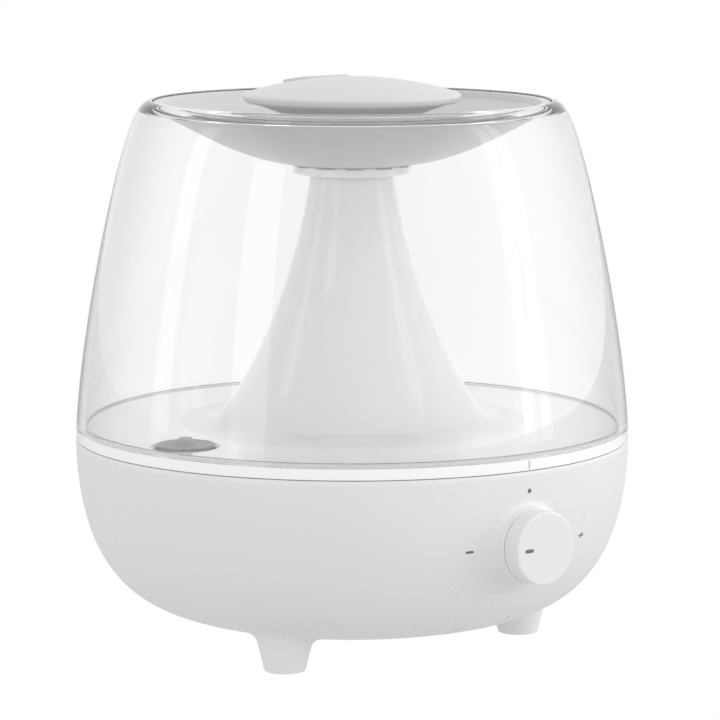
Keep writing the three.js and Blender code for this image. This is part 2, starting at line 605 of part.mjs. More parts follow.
part("nozzle_dome", nozzleDome(), satinWhite);

const neckR = DISH.tubeR + 0.7;
part(
  "nozzle_base",
  turned([
    [44.2, 235.6], [44.4, 237], [43, 237], [31, 233.2], [neckR + 2, 231.4], [neckR, 231.4],
    [neckR, 222], [neckR + 2, 222], [neckR + 2, 228.6], [31, 231.2],
  ]),
  satinWhite,
);

export default humidifier;
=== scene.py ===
"""Dresses a cool mist humidifier for the studio: a clear top-fill tank with a white chimney on a round base.

Lengths in this script are millimetres, and a piece's mesh is written in metres when the piece is made.
Heights are above the surface that the feet stand on, and the knob faces -Y.
"""

import json
import logging
import math
from collections.abc import Sequence
from dataclasses import dataclass
from enum import Enum

import bpy
import numpy as np
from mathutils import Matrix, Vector


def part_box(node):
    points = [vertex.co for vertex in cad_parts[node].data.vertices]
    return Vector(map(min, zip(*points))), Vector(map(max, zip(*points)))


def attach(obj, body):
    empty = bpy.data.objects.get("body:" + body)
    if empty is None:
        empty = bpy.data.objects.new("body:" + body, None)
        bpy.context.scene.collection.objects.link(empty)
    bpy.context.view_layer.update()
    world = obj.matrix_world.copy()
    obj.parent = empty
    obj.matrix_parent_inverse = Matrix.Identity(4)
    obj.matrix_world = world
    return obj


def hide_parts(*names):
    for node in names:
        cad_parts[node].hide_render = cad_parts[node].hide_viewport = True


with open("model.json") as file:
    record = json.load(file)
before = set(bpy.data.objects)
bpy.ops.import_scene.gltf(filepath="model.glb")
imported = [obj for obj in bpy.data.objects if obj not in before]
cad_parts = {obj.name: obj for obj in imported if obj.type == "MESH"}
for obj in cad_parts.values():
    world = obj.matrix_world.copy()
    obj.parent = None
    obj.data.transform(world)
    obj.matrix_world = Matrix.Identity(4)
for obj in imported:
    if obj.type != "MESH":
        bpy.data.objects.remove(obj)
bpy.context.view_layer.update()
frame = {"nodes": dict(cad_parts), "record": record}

log = logging.getLogger("humidifier")

MM = 0.001
TINY = 1e-6
LONGEST_SHARE = 0.45
FLAT_KEEPER = 0.05
SHARP_EDGE = math.radians(32)


class Body(Enum):
    """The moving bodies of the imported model."""

    BASE = "base"
    KNOB = "knob"
    FLOAT = "float"
    TANK = "tank"
    VALVE = "valve"
    LID = "lid"
    NOZZLE = "nozzle"


# ---------------------------------------------------------------- shapes as arrays
@dataclass(frozen=True)
class Shape:
    """A closed surface: its points, and its faces as lists of point numbers."""

    points: np.ndarray
    faces: list[list[int]]

    def moved(self, x: float = 0.0, y: float = 0.0, z: float = 0.0) -> "Shape":
        """The same surface, moved."""
        return Shape(self.points + np.array([x, y, z]), self.faces)

    def facing_front(self) -> "Shape":
        """The same surface with its height laid along -Y: (x, y, z) becomes (x, -z, y)."""
        x, y, z = self.points.T
        return Shape(np.stack([x, -z, y], axis=1), self.faces)

    def facing_back(self) -> "Shape":
        """The same surface with its height laid along +Y: (x, y, z) becomes (x, z, -y)."""
        x, y, z = self.points.T
        return Shape(np.stack([x, z, -y], axis=1), self.faces)

    def turned_by(self, degrees: float) -> "Shape":
        """The same surface, turned about Z.

        Args:
            degrees: how far, anticlockwise as seen from above.

        Returns:
            The turned surface.
        """
        angle = math.radians(degrees)
        turn = np.array([[math.cos(angle), math.sin(angle)], [-math.sin(angle), math.cos(angle)]])
        points = self.points.copy()
        points[:, :2] = points[:, :2] @ turn
        return Shape(points, self.faces)

    def outward(self) -> "Shape":
        """The same surface with its faces pointing out, which gives it a positive signed volume."""
        volume = 0.0
        for size in {len(face) for face in self.faces}:
            corners = self.points[np.array([face for face in self.faces if len(face) == size])]
            for i in range(1, size - 1):
                wedge = np.cross(corners[:, i], corners[:, i + 1])
                volume += float(np.einsum("ij,ij->", corners[:, 0], wedge))
        if volume < 0:
            return Shape(self.points, [face[::-1] for face in self.faces])
        return self


def joined(*shapes: Shape) -> Shape:
    """Several closed surfaces as one.

    Args:
        *shapes: the surfaces, each closed.

    Returns:
        One shape that holds them all, each with its faces pointing out.
    """
    points: list[np.ndarray] = []
    faces: list[list[int]] = []
    start = 0
    for shape in (s.outward() for s in shapes):
        points.append(shape.points)
        faces += [[start + i for i in face] for face in shape.faces]
        start += len(shape.points)
    return Shape(np.concatenate(points), faces)


def swept(radius: np.ndarray, height: np.ndarray, angles: np.ndarray) -> Shape:
    """Sections set round the Z axis: a point is (r cos a, r sin a, h), with r and h given along each section.

    Args:
        radius: radii, one row for each angle, or one row for all.
        height: heights, in the same form.
        angles: the angles in radians, in rising order.

    Returns:
        A closed shape. A section that starts and ends on the axis has a pole at each end, and any
        other section closes on itself.
    """
    radius, height = np.broadcast_arrays(np.atleast_2d(radius), np.atleast_2d(height))
    across = (len(angles), radius.shape[1])
    radius = np.broadcast_to(radius, across)
    height = np.broadcast_to(height, across)
    ring = np.stack(
        [radius * np.cos(angles)[:, None], radius * np.sin(angles)[:, None], height], axis=-1
    )
    poled = bool(radius[:, 0].max() < TINY)
    kept = ring[:, 1:-1] if poled else ring
    rows = kept.shape[1]
    here = np.arange(len(angles))[:, None] * rows + np.arange(rows)[None, :]
    following = np.roll(here, -1, axis=0)
    if not poled:
        quads = [here, following, np.roll(following, -1, axis=1), np.roll(here, -1, axis=1)]
        faces = np.stack(quads, axis=-1).reshape(-1, 4).tolist()
        return Shape(kept.reshape(-1, 3), faces)
    quads = [here[:, :-1], following[:, :-1], following[:, 1:], here[:, 1:]]
    faces = np.stack(quads, axis=-1).reshape(-1, 4).tolist()
    pole = np.full(len(angles), rows * len(angles))
    faces += np.stack([following[:, 0], here[:, 0], pole], axis=-1).tolist()
    faces += np.stack([here[:, -1], following[:, -1], pole + 1], axis=-1).tolist()
    return Shape(np.concatenate([kept.reshape(-1, 3), ring[:1, 0], ring[:1, -1]]), faces)


def round_angles(sides: int) -> np.ndarray:
    """Evenly spaced angles of a full turn, in radians."""
    return np.arange(sides) * (2 * math.pi / sides)


def turned(profile: np.ndarray, sides: int = 224) -> Shape:
    """A profile of (radius, height) points turned about Z.

    Args:
        profile: the points, either closing on themselves or starting and ending on the axis.
        sides: how many steps a full turn has.

    Returns:
        The closed shape.
    """
    return swept(profile[:, 0], profile[:, 1], round_angles(sides)).outward()


def rod(radius: float, bottom: float, top: float, sides: int = 64) -> Shape:
    """A plain round bar about Z between two heights, for cutting a hole."""
    return turned(np.array([(0, bottom), (radius, bottom), (radius, top), (0, top)], float), sides)


def collar(
    inner: float, outer: float, bottom: float, top: float, rounds: Sequence[float], sides: int = 64
) -> Shape:
    """A ring about Z with a rectangular section.

    Args:
        inner: its inner radius.
        outer: its outer radius.
        bottom: its lowest height.
        top: its highest height.
        rounds: how round its corners are, from the inner bottom one by way of the outer ones.
        sides: how many steps a full turn has.

    Returns:
        The closed ring.
    """
    corners = [(inner, bottom), (outer, bottom), (outer, top), (inner, top)]
    return turned(rounded([(*corner, by) for corner, by in zip(corners, rounds)]), sides)


def carried(section: np.ndarray, path: np.ndarray, side: np.ndarray, up: np.ndarray, loop: bool) -> Shape:
    """A section carried along a path: a point is path + s side + t up, with (s, t) along the section.

    Args:
        section: the (s, t) points of a closed outline.
        path: the points that it follows.
        side: the direction of s at each path point.
        up: the direction of t at each path point.
        loop: whether the path closes on itself.

    Returns:
        The closed shape, with a fan at each end of an open path.
    """
    grid = path[:, None] + section[None, :, :1] * side[:, None] + section[None, :, 1:] * up[:, None]
    steps, around = grid.shape[:2]
    here = np.arange(steps)[:, None] * around + np.arange(around)[None, :]
    beside = np.roll(here, -1, axis=1)
    if loop:
        quads = [here, beside, np.roll(beside, -1, axis=0), np.roll(here, -1, axis=0)]
        return Shape(grid.reshape(-1, 3), np.stack(quads, axis=-1).reshape(-1, 4).tolist()).outward()
    quads = [here[:-1], beside[:-1], beside[1:], here[1:]]
    faces = np.stack(quads, axis=-1).reshape(-1, 4).tolist()
    pole = np.full(around, steps * around)
    faces += np.stack([beside[0], here[0], pole], axis=-1).tolist()
    faces += np.stack([here[-1], beside[-1], pole + 1], axis=-1).tolist()
    points = np.concatenate([grid.reshape(-1, 3), path[:1], path[-1:]])
    return Shape(points, faces).outward()


def bezier(
    start: Sequence[float], a: Sequence[float], b: Sequence[float], end: Sequence[float], steps: int = 24
) -> np.ndarray:
    """Points of a cubic Bezier curve.

    Args:
        start: its first point.
        a: the point that it leaves towards.
        b: the point that it arrives from.
        end: its last point.
        steps: how many equal steps of the parameter it takes.

    Returns:
        The points in order, both ends included.
    """
    t = np.linspace(0, 1, steps + 1)[:, None]
    s = 1 - t
    p, q, r, e = (np.asarray(point, float) for point in (start, a, b, end))
    return s**3 * p + 3 * s * s * t * q + 3 * s * t * t * r + t**3 * e


def arc(t: np.ndarray, start: np.ndarray, corner: np.ndarray, end: np.ndarray) -> np.ndarray:
    """A quadratic Bezier arc: (1 - t)^2 start + 2 t (1 - t) corner + t^2 end."""
    return (1 - t) ** 2 * start + 2 * t * (1 - t) * corner + t * t * end


def beside(curve: np.ndarray, distance: float | np.ndarray) -> np.ndarray:
    """A curve moved to the left of its direction of travel: each point plus a distance times the left normal.

    Args:
        curve: the points in order.
        distance: how far they move, as one number or one for each point.

    Returns:
        The moved points.
    """
    along = np.gradient(curve, axis=0)
    along /= np.linalg.norm(along, axis=1)[:, None]
    return curve + np.reshape(distance, (-1, 1)) * np.stack([-along[:, 1], along[:, 0]], axis=1)


def plain(curve: np.ndarray) -> list[tuple[float, float, float]]:
    """The points of a curve as corners with no rounding, for rounded()."""
    return [(float(r), float(z), 0.0) for r, z in curve]


def rounded(corners: Sequence[tuple[float, float, float]], steps: int = 6, closed: bool = True) -> np.ndarray:
    """An outline with its corners rounded, each by an arc that touches both of its sides.

    Args:
        corners: (across, up, radius) for each corner, where radius 0 keeps it sharp.
        steps: how many steps an arc takes.
        closed: whether the last corner joins the first.

    Returns:
        The outline's points. An arc takes at most LONGEST_SHARE of a side, and a point just outside it,
        FLAT_KEEPER of its reach away, keeps the flat beside it flat when shaded.
    """
    places = np.array([corner[:2] for corner in corners], float)
    found: list[np.ndarray] = []
    for i, (across, up, radius) in enumerate(corners):
        here = np.array([across, up], float)
        ends = not closed and i in (0, len(corners) - 1)
        if radius <= 0 or ends:
            found.append(here[None])
            continue
        before, after = places[i - 1] - here, places[(i + 1) % len(corners)] - here
        lengths = np.linalg.norm(before), np.linalg.norm(after)
        before, after = before / lengths[0], after / lengths[1]
        half = math.acos(float(np.clip(before @ after, -1, 1))) / 2
        if math.cos(half) < TINY:
            found.append(here[None])
            continue
        reach = min(radius / math.tan(half), LONGEST_SHARE * min(lengths))
        arc_radius = reach * math.tan(half)
        bisector = (before + after) / np.linalg.norm(before + after)
        centre = here + bisector * (arc_radius / math.sin(half))
        first, last = here + before * reach - centre, here + after * reach - centre
        sweep = math.pi - 2 * half
        t = np.linspace(0, 1, steps + 1)[:, None]
        bend = centre + (np.sin((1 - t) * sweep) * first + np.sin(t * sweep) * last) / math.sin(sweep)
        spare = FLAT_KEEPER * reach
        found.append(np.concatenate([[bend[0] + before * spare], bend, [bend[-1] + after * spare]]))
    return np.concatenate(found)


def carve(shape: Shape, *cutters: Shape) -> Shape:
    """Cuts shapes out of a shape with an exact boolean.

    Args:
        shape: the closed shape to cut.
        *cutters: the closed shapes to take away.

    Returns:
        What is left, as a closed shape.
    """
    body = plain_object("carve_body", shape)
    tool = plain_object("carve_tool", joined(*cutters))
    cut = body.modifiers.new("cut", "BOOLEAN")
    cut.operation = "DIFFERENCE"
    cut.solver = "EXACT"
    cut.object = tool
    bpy.context.view_layer.update()
    result = body.evaluated_get(bpy.context.evaluated_depsgraph_get()).to_mesh()
    points = np.zeros(len(result.vertices) * 3)
    result.vertices.foreach_get("co", points)
    starts = np.zeros(len(result.polygons), np.int32)
    result.polygons.foreach_get("loop_start", starts)
    corners = np.zeros(len(result.loops), np.int32)
    result.loops.foreach_get("vertex_index", corners)
    faces = [part.tolist() for part in np.split(corners, starts[1:])]
    for used in (body, tool):
        mesh = used.data
        bpy.data.objects.remove(used)
        bpy.data.meshes.remove(mesh)
    return Shape(points.reshape(-1, 3), faces)


def plain_object(name: str, shape: Shape) -> bpy.types.Object:
    """An object in the scene that holds a shape as it is, with no finish.

    Args:
        name: the name of the object and of its mesh.
        shape: the shape, whose points are taken as they are.

    Returns:
        The object, at the origin.
    """
    mesh = bpy.data.meshes.new(name)
    mesh.from_pydata(shape.points.tolist(), [], shape.faces)
    made = bpy.data.objects.new(name, mesh)
    bpy.context.scene.collection.objects.link(made)
    return made


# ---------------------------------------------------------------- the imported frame, in millimetres
def low(node: str) -> np.ndarray:
    """The lowest corner of a CAD node's box."""
    return np.array(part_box(node)[0]) / MM


def high(node: str) -> np.ndarray:
    """The highest corner of a CAD node's box."""
    return np.array(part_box(node)[1]) / MM


def middle(node: str) -> np.ndarray:
    """The middle of a CAD node's box."""
    return (low(node) + high(node)) / 2


def heights(node: str) -> tuple[float, float]:
    """The lowest and the highest point of a CAD node, as heights."""
    return low(node)[2], high(node)[2]


AXIS_X, AXIS_Y = middle("nozzle_base")[:2]


def from_axis(node: str) -> np.ndarray:
    """How far to the right of the vessel's axis and behind it a CAD node's middle is."""
    return middle(node)[:2] - (AXIS_X, AXIS_Y)


def on_axis(shape: Shape) -> Shape:
    """A shape drawn about the vessel's axis, put in its place."""
    return shape.moved(AXIS_X, AXIS_Y)


# ---------------------------------------------------------------- node helpers and shared groups
def add(
    tree: bpy.types.NodeTree, kind: str, settings: dict | None = None, **values: object
) -> bpy.types.Node:
    """Adds a node and fills its sockets.

    Args:
        tree: the tree that gets the node.
        kind: the node's type name without its ShaderNode prefix.
        settings: the node's own properties.
        **values: a value or an output socket for each input, named with _ for each space, or by number.

    Returns:
        The node.
    """
    node = tree.nodes.new("ShaderNode" + kind)
    for key, setting in (settings or {}).items():
        setattr(node, key, setting)
    for key, value in values.items():
        socket = node.inputs[int(key[1:])] if key[1:].isdigit() else node.inputs[key.replace("_", " ")]
        if isinstance(value, bpy.types.NodeSocket):
            tree.links.new(value, socket)
        else:
            socket.default_value = value
    return node


def calc(tree: bpy.types.NodeTree, operation: str, a: object, b: object) -> bpy.types.NodeSocket:
    """The result of a Math node on two values or sockets."""
    return add(tree, "Math", {"operation": operation}, _0=a, _1=b).outputs[0]


def dimmed(tree: bpy.types.NodeTree, colour: object, share: object) -> bpy.types.NodeSocket:
    """A colour times a number, either of them a value or a socket."""
    return add(tree, "VectorMath", {"operation": "SCALE"}, _0=colour, Scale=share).outputs[0]


def ramp(
    tree: bpy.types.NodeTree, value: object, across: tuple[float, float],
    onto: tuple[float, float] = (0.0, 1.0), kind: str = "LINEAR",
) -> bpy.types.NodeSocket:
    """A value stretched from one range onto another, and held inside it.

    Args:
        tree: the tree that gets the node.
        value: the value or socket.
        across: the range that it is read over.
        onto: the range that it is stretched onto.
        kind: LINEAR, or SMOOTHSTEP for soft ends.

    Returns:
        The stretched value's socket.
    """
    node = add(
        tree, "MapRange", {"interpolation_type": kind}, Value=value, From_Min=across[0], From_Max=across[1],
        To_Min=onto[0], To_Max=onto[1],
    )
    return node.outputs[0]


def start_group(
    name: str, inputs: Sequence[tuple[str, str, object]], outputs: Sequence[tuple[str, str]]
) -> bpy.types.NodeTree:
    """An empty node group with its sockets made.

    Args:
        name: the group's name.
        inputs: (name, kind, value to start from) of each input.
        outputs: (name, kind) of each output.

    Returns:
        The group's tree, with its two end nodes in place.
    """
    group = bpy.data.node_groups.new(name, "ShaderNodeTree")
    for label, kind, value in inputs:
        socket = group.interface.new_socket(label, in_out="INPUT", socket_type="NodeSocket" + kind)
        if value is not None:
            socket.default_value = value
    for label, kind in outputs:
        group.interface.new_socket(label, in_out="OUTPUT", socket_type="NodeSocket" + kind)
    group.nodes.new("NodeGroupInput")
    group.nodes.new("NodeGroupOutput")
    return group


def group_ends(group: bpy.types.NodeTree) -> tuple[bpy.types.NodeOutputs, bpy.types.NodeInputs]:
    """The sockets that a group's input node gives and its output node takes."""
    return group.nodes["Group Input"].outputs, group.nodes["Group Output"].inputs


def moulded_grain() -> bpy.types.NodeTree:
    """Moulded plastic: a slow cloud in the colour and roughness, and a fine spark-eroded grain as height."""
    group = start_group(
        "moulded_grain",
        [("Place", "Vector", None), ("Colour", "Color", None), ("Mottle", "Float", 0.02),
         ("Roughness", "Float", 0.4), ("Unevenness", "Float", 0.05), ("Grain", "Float", 1500.0)],
        [("Colour", "Color"), ("Roughness", "Float"), ("Height", "Float")],
    )
    given, taken = group_ends(group)
    cloud = add(group, "TexNoise", Vector=given["Place"], Scale=16.0, Detail=2.0).outputs["Fac"]
    fine = add(group, "TexNoise", Vector=given["Place"], Scale=given["Grain"], Detail=2.0).outputs["Fac"]
    share = calc(group, "SUBTRACT", 1.0, calc(group, "MULTIPLY", cloud, given["Mottle"]))
    centred = calc(group, "SUBTRACT", calc(group, "ADD", cloud, fine), 1.0)
    swing = calc(group, "MULTIPLY", centred, given["Unevenness"])
    group.links.new(dimmed(group, given["Colour"], share), taken["Colour"])
    group.links.new(calc(group, "ADD", swing, given["Roughness"]), taken["Roughness"])
    group.links.new(fine, taken["Height"])
    return group


def edge_wear() -> bpy.types.NodeTree:
    """Wear: where the surface is pointed and a patchy noise allows it, the colour turns to the worn one."""
    group = start_group(
        "edge_wear",
        [("Place", "Vector", None), ("Colour", "Color", None), ("Worn", "Color", None),
         ("Amount", "Float", 0.3)],
        [("Colour", "Color")],
    )
    given, taken = group_ends(group)
    pointed = ramp(group, add(group, "NewGeometry").outputs["Pointiness"], (0.515, 0.6))
    patches = add(group, "TexNoise", Vector=given["Place"], Scale=120.0, Detail=3.0)
    patchy = ramp(group, patches.outputs["Fac"], (0.35, 0.65))
    mask = calc(group, "MULTIPLY", calc(group, "MULTIPLY", pointed, patchy), given["Amount"])
    mixed = add(group, "Mix", {"data_type": "RGBA"}, _0=mask, _6=given["Colour"], _7=given["Worn"])
    group.links.new(mixed.outputs[2], taken["Colour"])
    return group


def drawn_metal() -> bpy.types.NodeTree:
    """Metal: long fine scratches from a noise squeezed along one axis, in the roughness and the height."""
    group = start_group(
        "drawn_metal",
        [("Place", "Vector", None), ("Colour", "Color", None), ("Roughness", "Float", 0.3)],
        [("Colour", "Color"), ("Roughness", "Float"), ("Height", "Float")],
    )
    given, taken = group_ends(group)
    squeezed = add(group, "Mapping", Vector=given["Place"], Scale=(1.0, 1.0, 14.0))
    lines = add(group, "TexNoise", Vector=squeezed.outputs[0], Scale=420.0, Detail=4.0).outputs["Fac"]
    colour = dimmed(group, given["Colour"], ramp(group, lines, (0.0, 1.0), (0.82, 1.06)))
    rough = calc(group, "ADD", ramp(group, lines, (0.0, 1.0), (-0.1, 0.12)), given["Roughness"])
    group.links.new(colour, taken["Colour"])
    group.links.new(rough, taken["Roughness"])
    group.links.new(lines, taken["Height"])
    return group


MOULDED_GRAIN = moulded_grain()
EDGE_WEAR = edge_wear()
DRAWN_METAL = drawn_metal()


def new_material(name: str) -> tuple[bpy.types.Material, bpy.types.NodeTree, bpy.types.NodeSocket]:
    """A material with nodes.

    Args:
        name: the material's name.

    Returns:
        The material, its emptied tree, and the Object coordinates that its patterns read.
    """
    material = bpy.data.materials.new(name)
    material.use_nodes = True
    tree = material.node_tree
    tree.nodes.clear()
    return material, tree, add(tree, "TexCoord").outputs["Object"]


def cover_with(
    tree: bpy.types.NodeTree, place: bpy.types.NodeSocket, pattern: bpy.types.Node,
    worn: tuple[float, ...], wear: float, bump: tuple[float, float], **values: object,
) -> None:
    """Ends a material: a pattern's colour with worn edges, its roughness, and its height as a bump.

    Args:
        tree: the material's tree.
        place: its Object coordinates.
        pattern: a placed group that gives Colour, Roughness and Height.
        worn: the colour of worn edges.
        wear: how much of it shows.
        bump: the bump's strength, and its depth in metres.
        **values: further values for the shader's sockets.
    """
    edges = add(
        tree, "Group", {"node_tree": EDGE_WEAR}, Place=place, Colour=pattern.outputs["Colour"],
        Worn=(*worn, 1), Amount=wear,
    )
    raised = add(tree, "Bump", Strength=bump[0], Distance=bump[1], Height=pattern.outputs["Height"])
    shader = add(
        tree, "BsdfPrincipled", Base_Color=edges.outputs["Colour"], Roughness=pattern.outputs["Roughness"],
        Normal=raised.outputs[0], **values,
    )
    add(tree, "OutputMaterial", Surface=shader.outputs[0])


# ---------------------------------------------------------------- finishes
@dataclass(frozen=True)
class Plastic:
    """A moulded plastic or rubber: its slot in the record, colour, gloss, grain and wear."""

    slot: str
    colour: tuple[float, float, float]
    roughness: float
    mottle: float = 0.025
    unevenness: float = 0.05
    grain: float = 1500.0
    grain_depth: float = 0.015
    coat: float = 0.0
    wear: float = 0.25

    def build(self, name: str) -> bpy.types.Material:
        """The node material of this plastic.

        Args:
            name: the material's name.

        Returns:
            The material.
        """
        material, tree, place = new_material(name)
        grain = add(
            tree, "Group", {"node_tree": MOULDED_GRAIN}, Place=place, Colour=(*self.colour, 1),
            Mottle=self.mottle, Roughness=self.roughness, Unevenness=self.unevenness, Grain=self.grain,
        )
        worn = tuple(min(1.0, channel * 1.12 + 0.02) for channel in self.colour)
        cover_with(
            tree, place, grain, worn, self.wear, (self.grain_depth, 0.0002), Coat_Weight=self.coat,
            Coat_Roughness=0.03,
        )
        return material


@dataclass(frozen=True)
class Metal:
    """A drawn or stamped metal: its slot in the record, colour, gloss and wear."""

    slot: str
    colour: tuple[float, float, float]
    roughness: float
    wear: float = 0.5

    def build(self, name: str) -> bpy.types.Material:
        """The node material of this metal.

        Args:
            name: the material's name.

        Returns:
            The material.
        """
        material, tree, place = new_material(name)
        drawn = add(
            tree, "Group", {"node_tree": DRAWN_METAL}, Place=place, Colour=(*self.colour, 1),
            Roughness=self.roughness,
        )
        bright = tuple(min(1.0, channel * 1.25) for channel in self.colour)
        cover_with(tree, place, drawn, bright, self.wear, (0.12, 0.0001), Metallic=1.0)
        return material


@dataclass(frozen=True)
class ClearPlastic:
    """The tank's clear plastic. Lamps shine through it, so that what stands inside is lit.

    Its colour is one number where the wall faces the eye, a painted shade where it slants away, and a painted
    highlight at its very edge.
    """

    slot: str = "clear_plastic"
    # facing is the plastic's own colour; slanting is a painted shade where the wall slants from the eye, and
    # edge is a painted highlight along its silhouette
    facing: float = 0.962
    slanting_painted_shade: float = 0.76
    edge: float = 0.99
    refraction: float = 1.49
    waviness: float = 0.05
    haze: float = 0.03
    shadow: float = 0.98

    def build(self, name: str) -> bpy.types.Material:
        """The node material of the clear plastic, with a slow moulding ripple in its surface.

        Args:
            name: the material's name.

        Returns:
            The material.
        """
        material, tree, place = new_material(name)
        ripple = add(tree, "TexNoise", Vector=place, Scale=9.0, Detail=1.0).outputs["Fac"]
        bump = add(tree, "Bump", Strength=self.waviness, Distance=0.002, Height=ripple)
        haze = ramp(tree, ripple, (0.0, 1.0), (0.0, self.haze))
        # painted shade and painted highlight: the colour darkens where the wall slants from the eye and
        # brightens at its very edge
        slant = add(tree, "LayerWeight", Blend=0.5).outputs["Facing"]
        side = ramp(tree, slant, (0.35, 0.75), (self.facing, self.slanting_painted_shade), "SMOOTHSTEP")
        rim = ramp(tree, slant, (0.85, 1.0))
        tint_and_painted_light = add(tree, "Mix", {"data_type": "FLOAT"}, _0=rim, _2=side, _3=self.edge)
        glass = add(
            tree, "BsdfPrincipled", Base_Color=tint_and_painted_light.outputs[0], Roughness=haze, IOR=self.refraction,
            Transmission_Weight=1.0, Normal=bump.outputs[0],
        )
        opened = add(tree, "BsdfTransparent", Color=(self.shadow, self.shadow, self.shadow, 1))
        shading = add(tree, "LightPath").outputs["Is Shadow Ray"]
        either = add(tree, "MixShader", _0=shading, _1=glass.outputs[0], _2=opened.outputs[0])
        add(tree, "OutputMaterial", Surface=either.outputs[0])
        return material


@dataclass(frozen=True)
class Finishes:
    """Every finish on the object. Two of them are darker copies of a slot that another finish is named after,
    with painted shade in their colour: the lid's and the chimney's.
    """

    satin_white: Plastic = Plastic("satin_white", (0.79, 0.79, 0.792), 0.28)
    # painted shade: a darker copy of the satin white, standing in for the shade on the lid's dish, tube, dome
    # and cone
    painted_shade_lid_white: Plastic = Plastic("satin_white", (0.645, 0.645, 0.649), 0.34)
    gloss_white: Plastic = Plastic(
        "gloss_white", (0.975, 0.975, 0.975), 0.1, grain_depth=0.0, coat=0.7, wear=0.1
    )
    # painted shade: a darker copy of the gloss white, standing in for the shade that falls on the chimney
    # inside the tank
    painted_shade_chimney_white: Plastic = Plastic(
        "gloss_white", (0.88, 0.88, 0.88), 0.1, mottle=0.04, grain_depth=0.0, coat=0.5, wear=0.1
    )
    clear_plastic: ClearPlastic = ClearPlastic()
    inner_grey: Plastic = Plastic("inner_grey", (0.56, 0.57, 0.575), 0.45)
    soft_rubber: Plastic = Plastic("soft_rubber", (0.5, 0.506, 0.512), 0.55, mottle=0.06, grain_depth=0.1)
    dark_rubber: Plastic = Plastic("dark_rubber", (0.09, 0.093, 0.098), 0.7, mottle=0.1, grain_depth=0.15)
    steel: Metal = Metal("steel", (0.56, 0.57, 0.58), 0.3)
    brass: Metal = Metal("brass", (0.60, 0.43, 0.17), 0.28)
    black_plastic: Plastic = Plastic("black_plastic", (0.018, 0.018, 0.02), 0.4, mottle=0.15)
    circuit_board: Plastic = Plastic("circuit_board", (0.025, 0.14, 0.07), 0.35, mottle=0.25, coat=0.3)
    aluminium: Metal = Metal("aluminium", (0.62, 0.63, 0.64), 0.34)
    print_grey: Plastic = Plastic("print_grey", (0.16, 0.16, 0.165), 0.5, mottle=0.08)


class FinishShop:
    """Builds each finish once and dresses pieces and CAD nodes with it."""

    def __init__(self, finishes: Finishes) -> None:
        """Builds the materials.

        Args:
            finishes: the finishes to build.
        """
        named = {name: getattr(finishes, name) for name in finishes.__dataclass_fields__}
        self.slots = {name: finish.slot for name, finish in named.items()}
        self.materials = {name: finish.build(name) for name, finish in named.items()}

    def piece(self, name: str, shape: Shape, finish: str, body: Body, *replaces: str) -> bpy.types.Object:
        """Makes a finished piece that rides on a body.

        Args:
            name: the piece's name.
            shape: its closed surface, in millimetres about the vessel's axis.
            finish: the name of its finish.
            body: the body that it moves with.
            *replaces: the CAD nodes that it stands for.

        Returns:
            The new object, at the origin with its place in its mesh.
        """
        placed = on_axis(shape)
        made = plain_object(name, Shape(placed.points * MM, placed.faces).outward())
        made.data.shade_smooth()
        made.data.set_sharp_from_angle(angle=SHARP_EDGE)
        made.data.materials.append(self.materials[finish])
        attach(made, body.value)
        if replaces:
            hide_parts(*replaces)
        log.info("%s: %d faces, %s, on %s", name, len(shape.faces), finish, body.value)
        return made

    def dress_cad(self) -> None:
        """Gives every CAD node that still shows the finish of its slot."""
        slots = {part["node"]: part["material_slot"] for part in frame["record"]["subparts"]}
        for name, node in frame["nodes"].items():
            if node.hide_render:
                continue
            node.data.materials.clear()
            node.data.materials.append(self.materials[slots[name]])
            log.info("%s: CAD node, %s", name, slots[name])


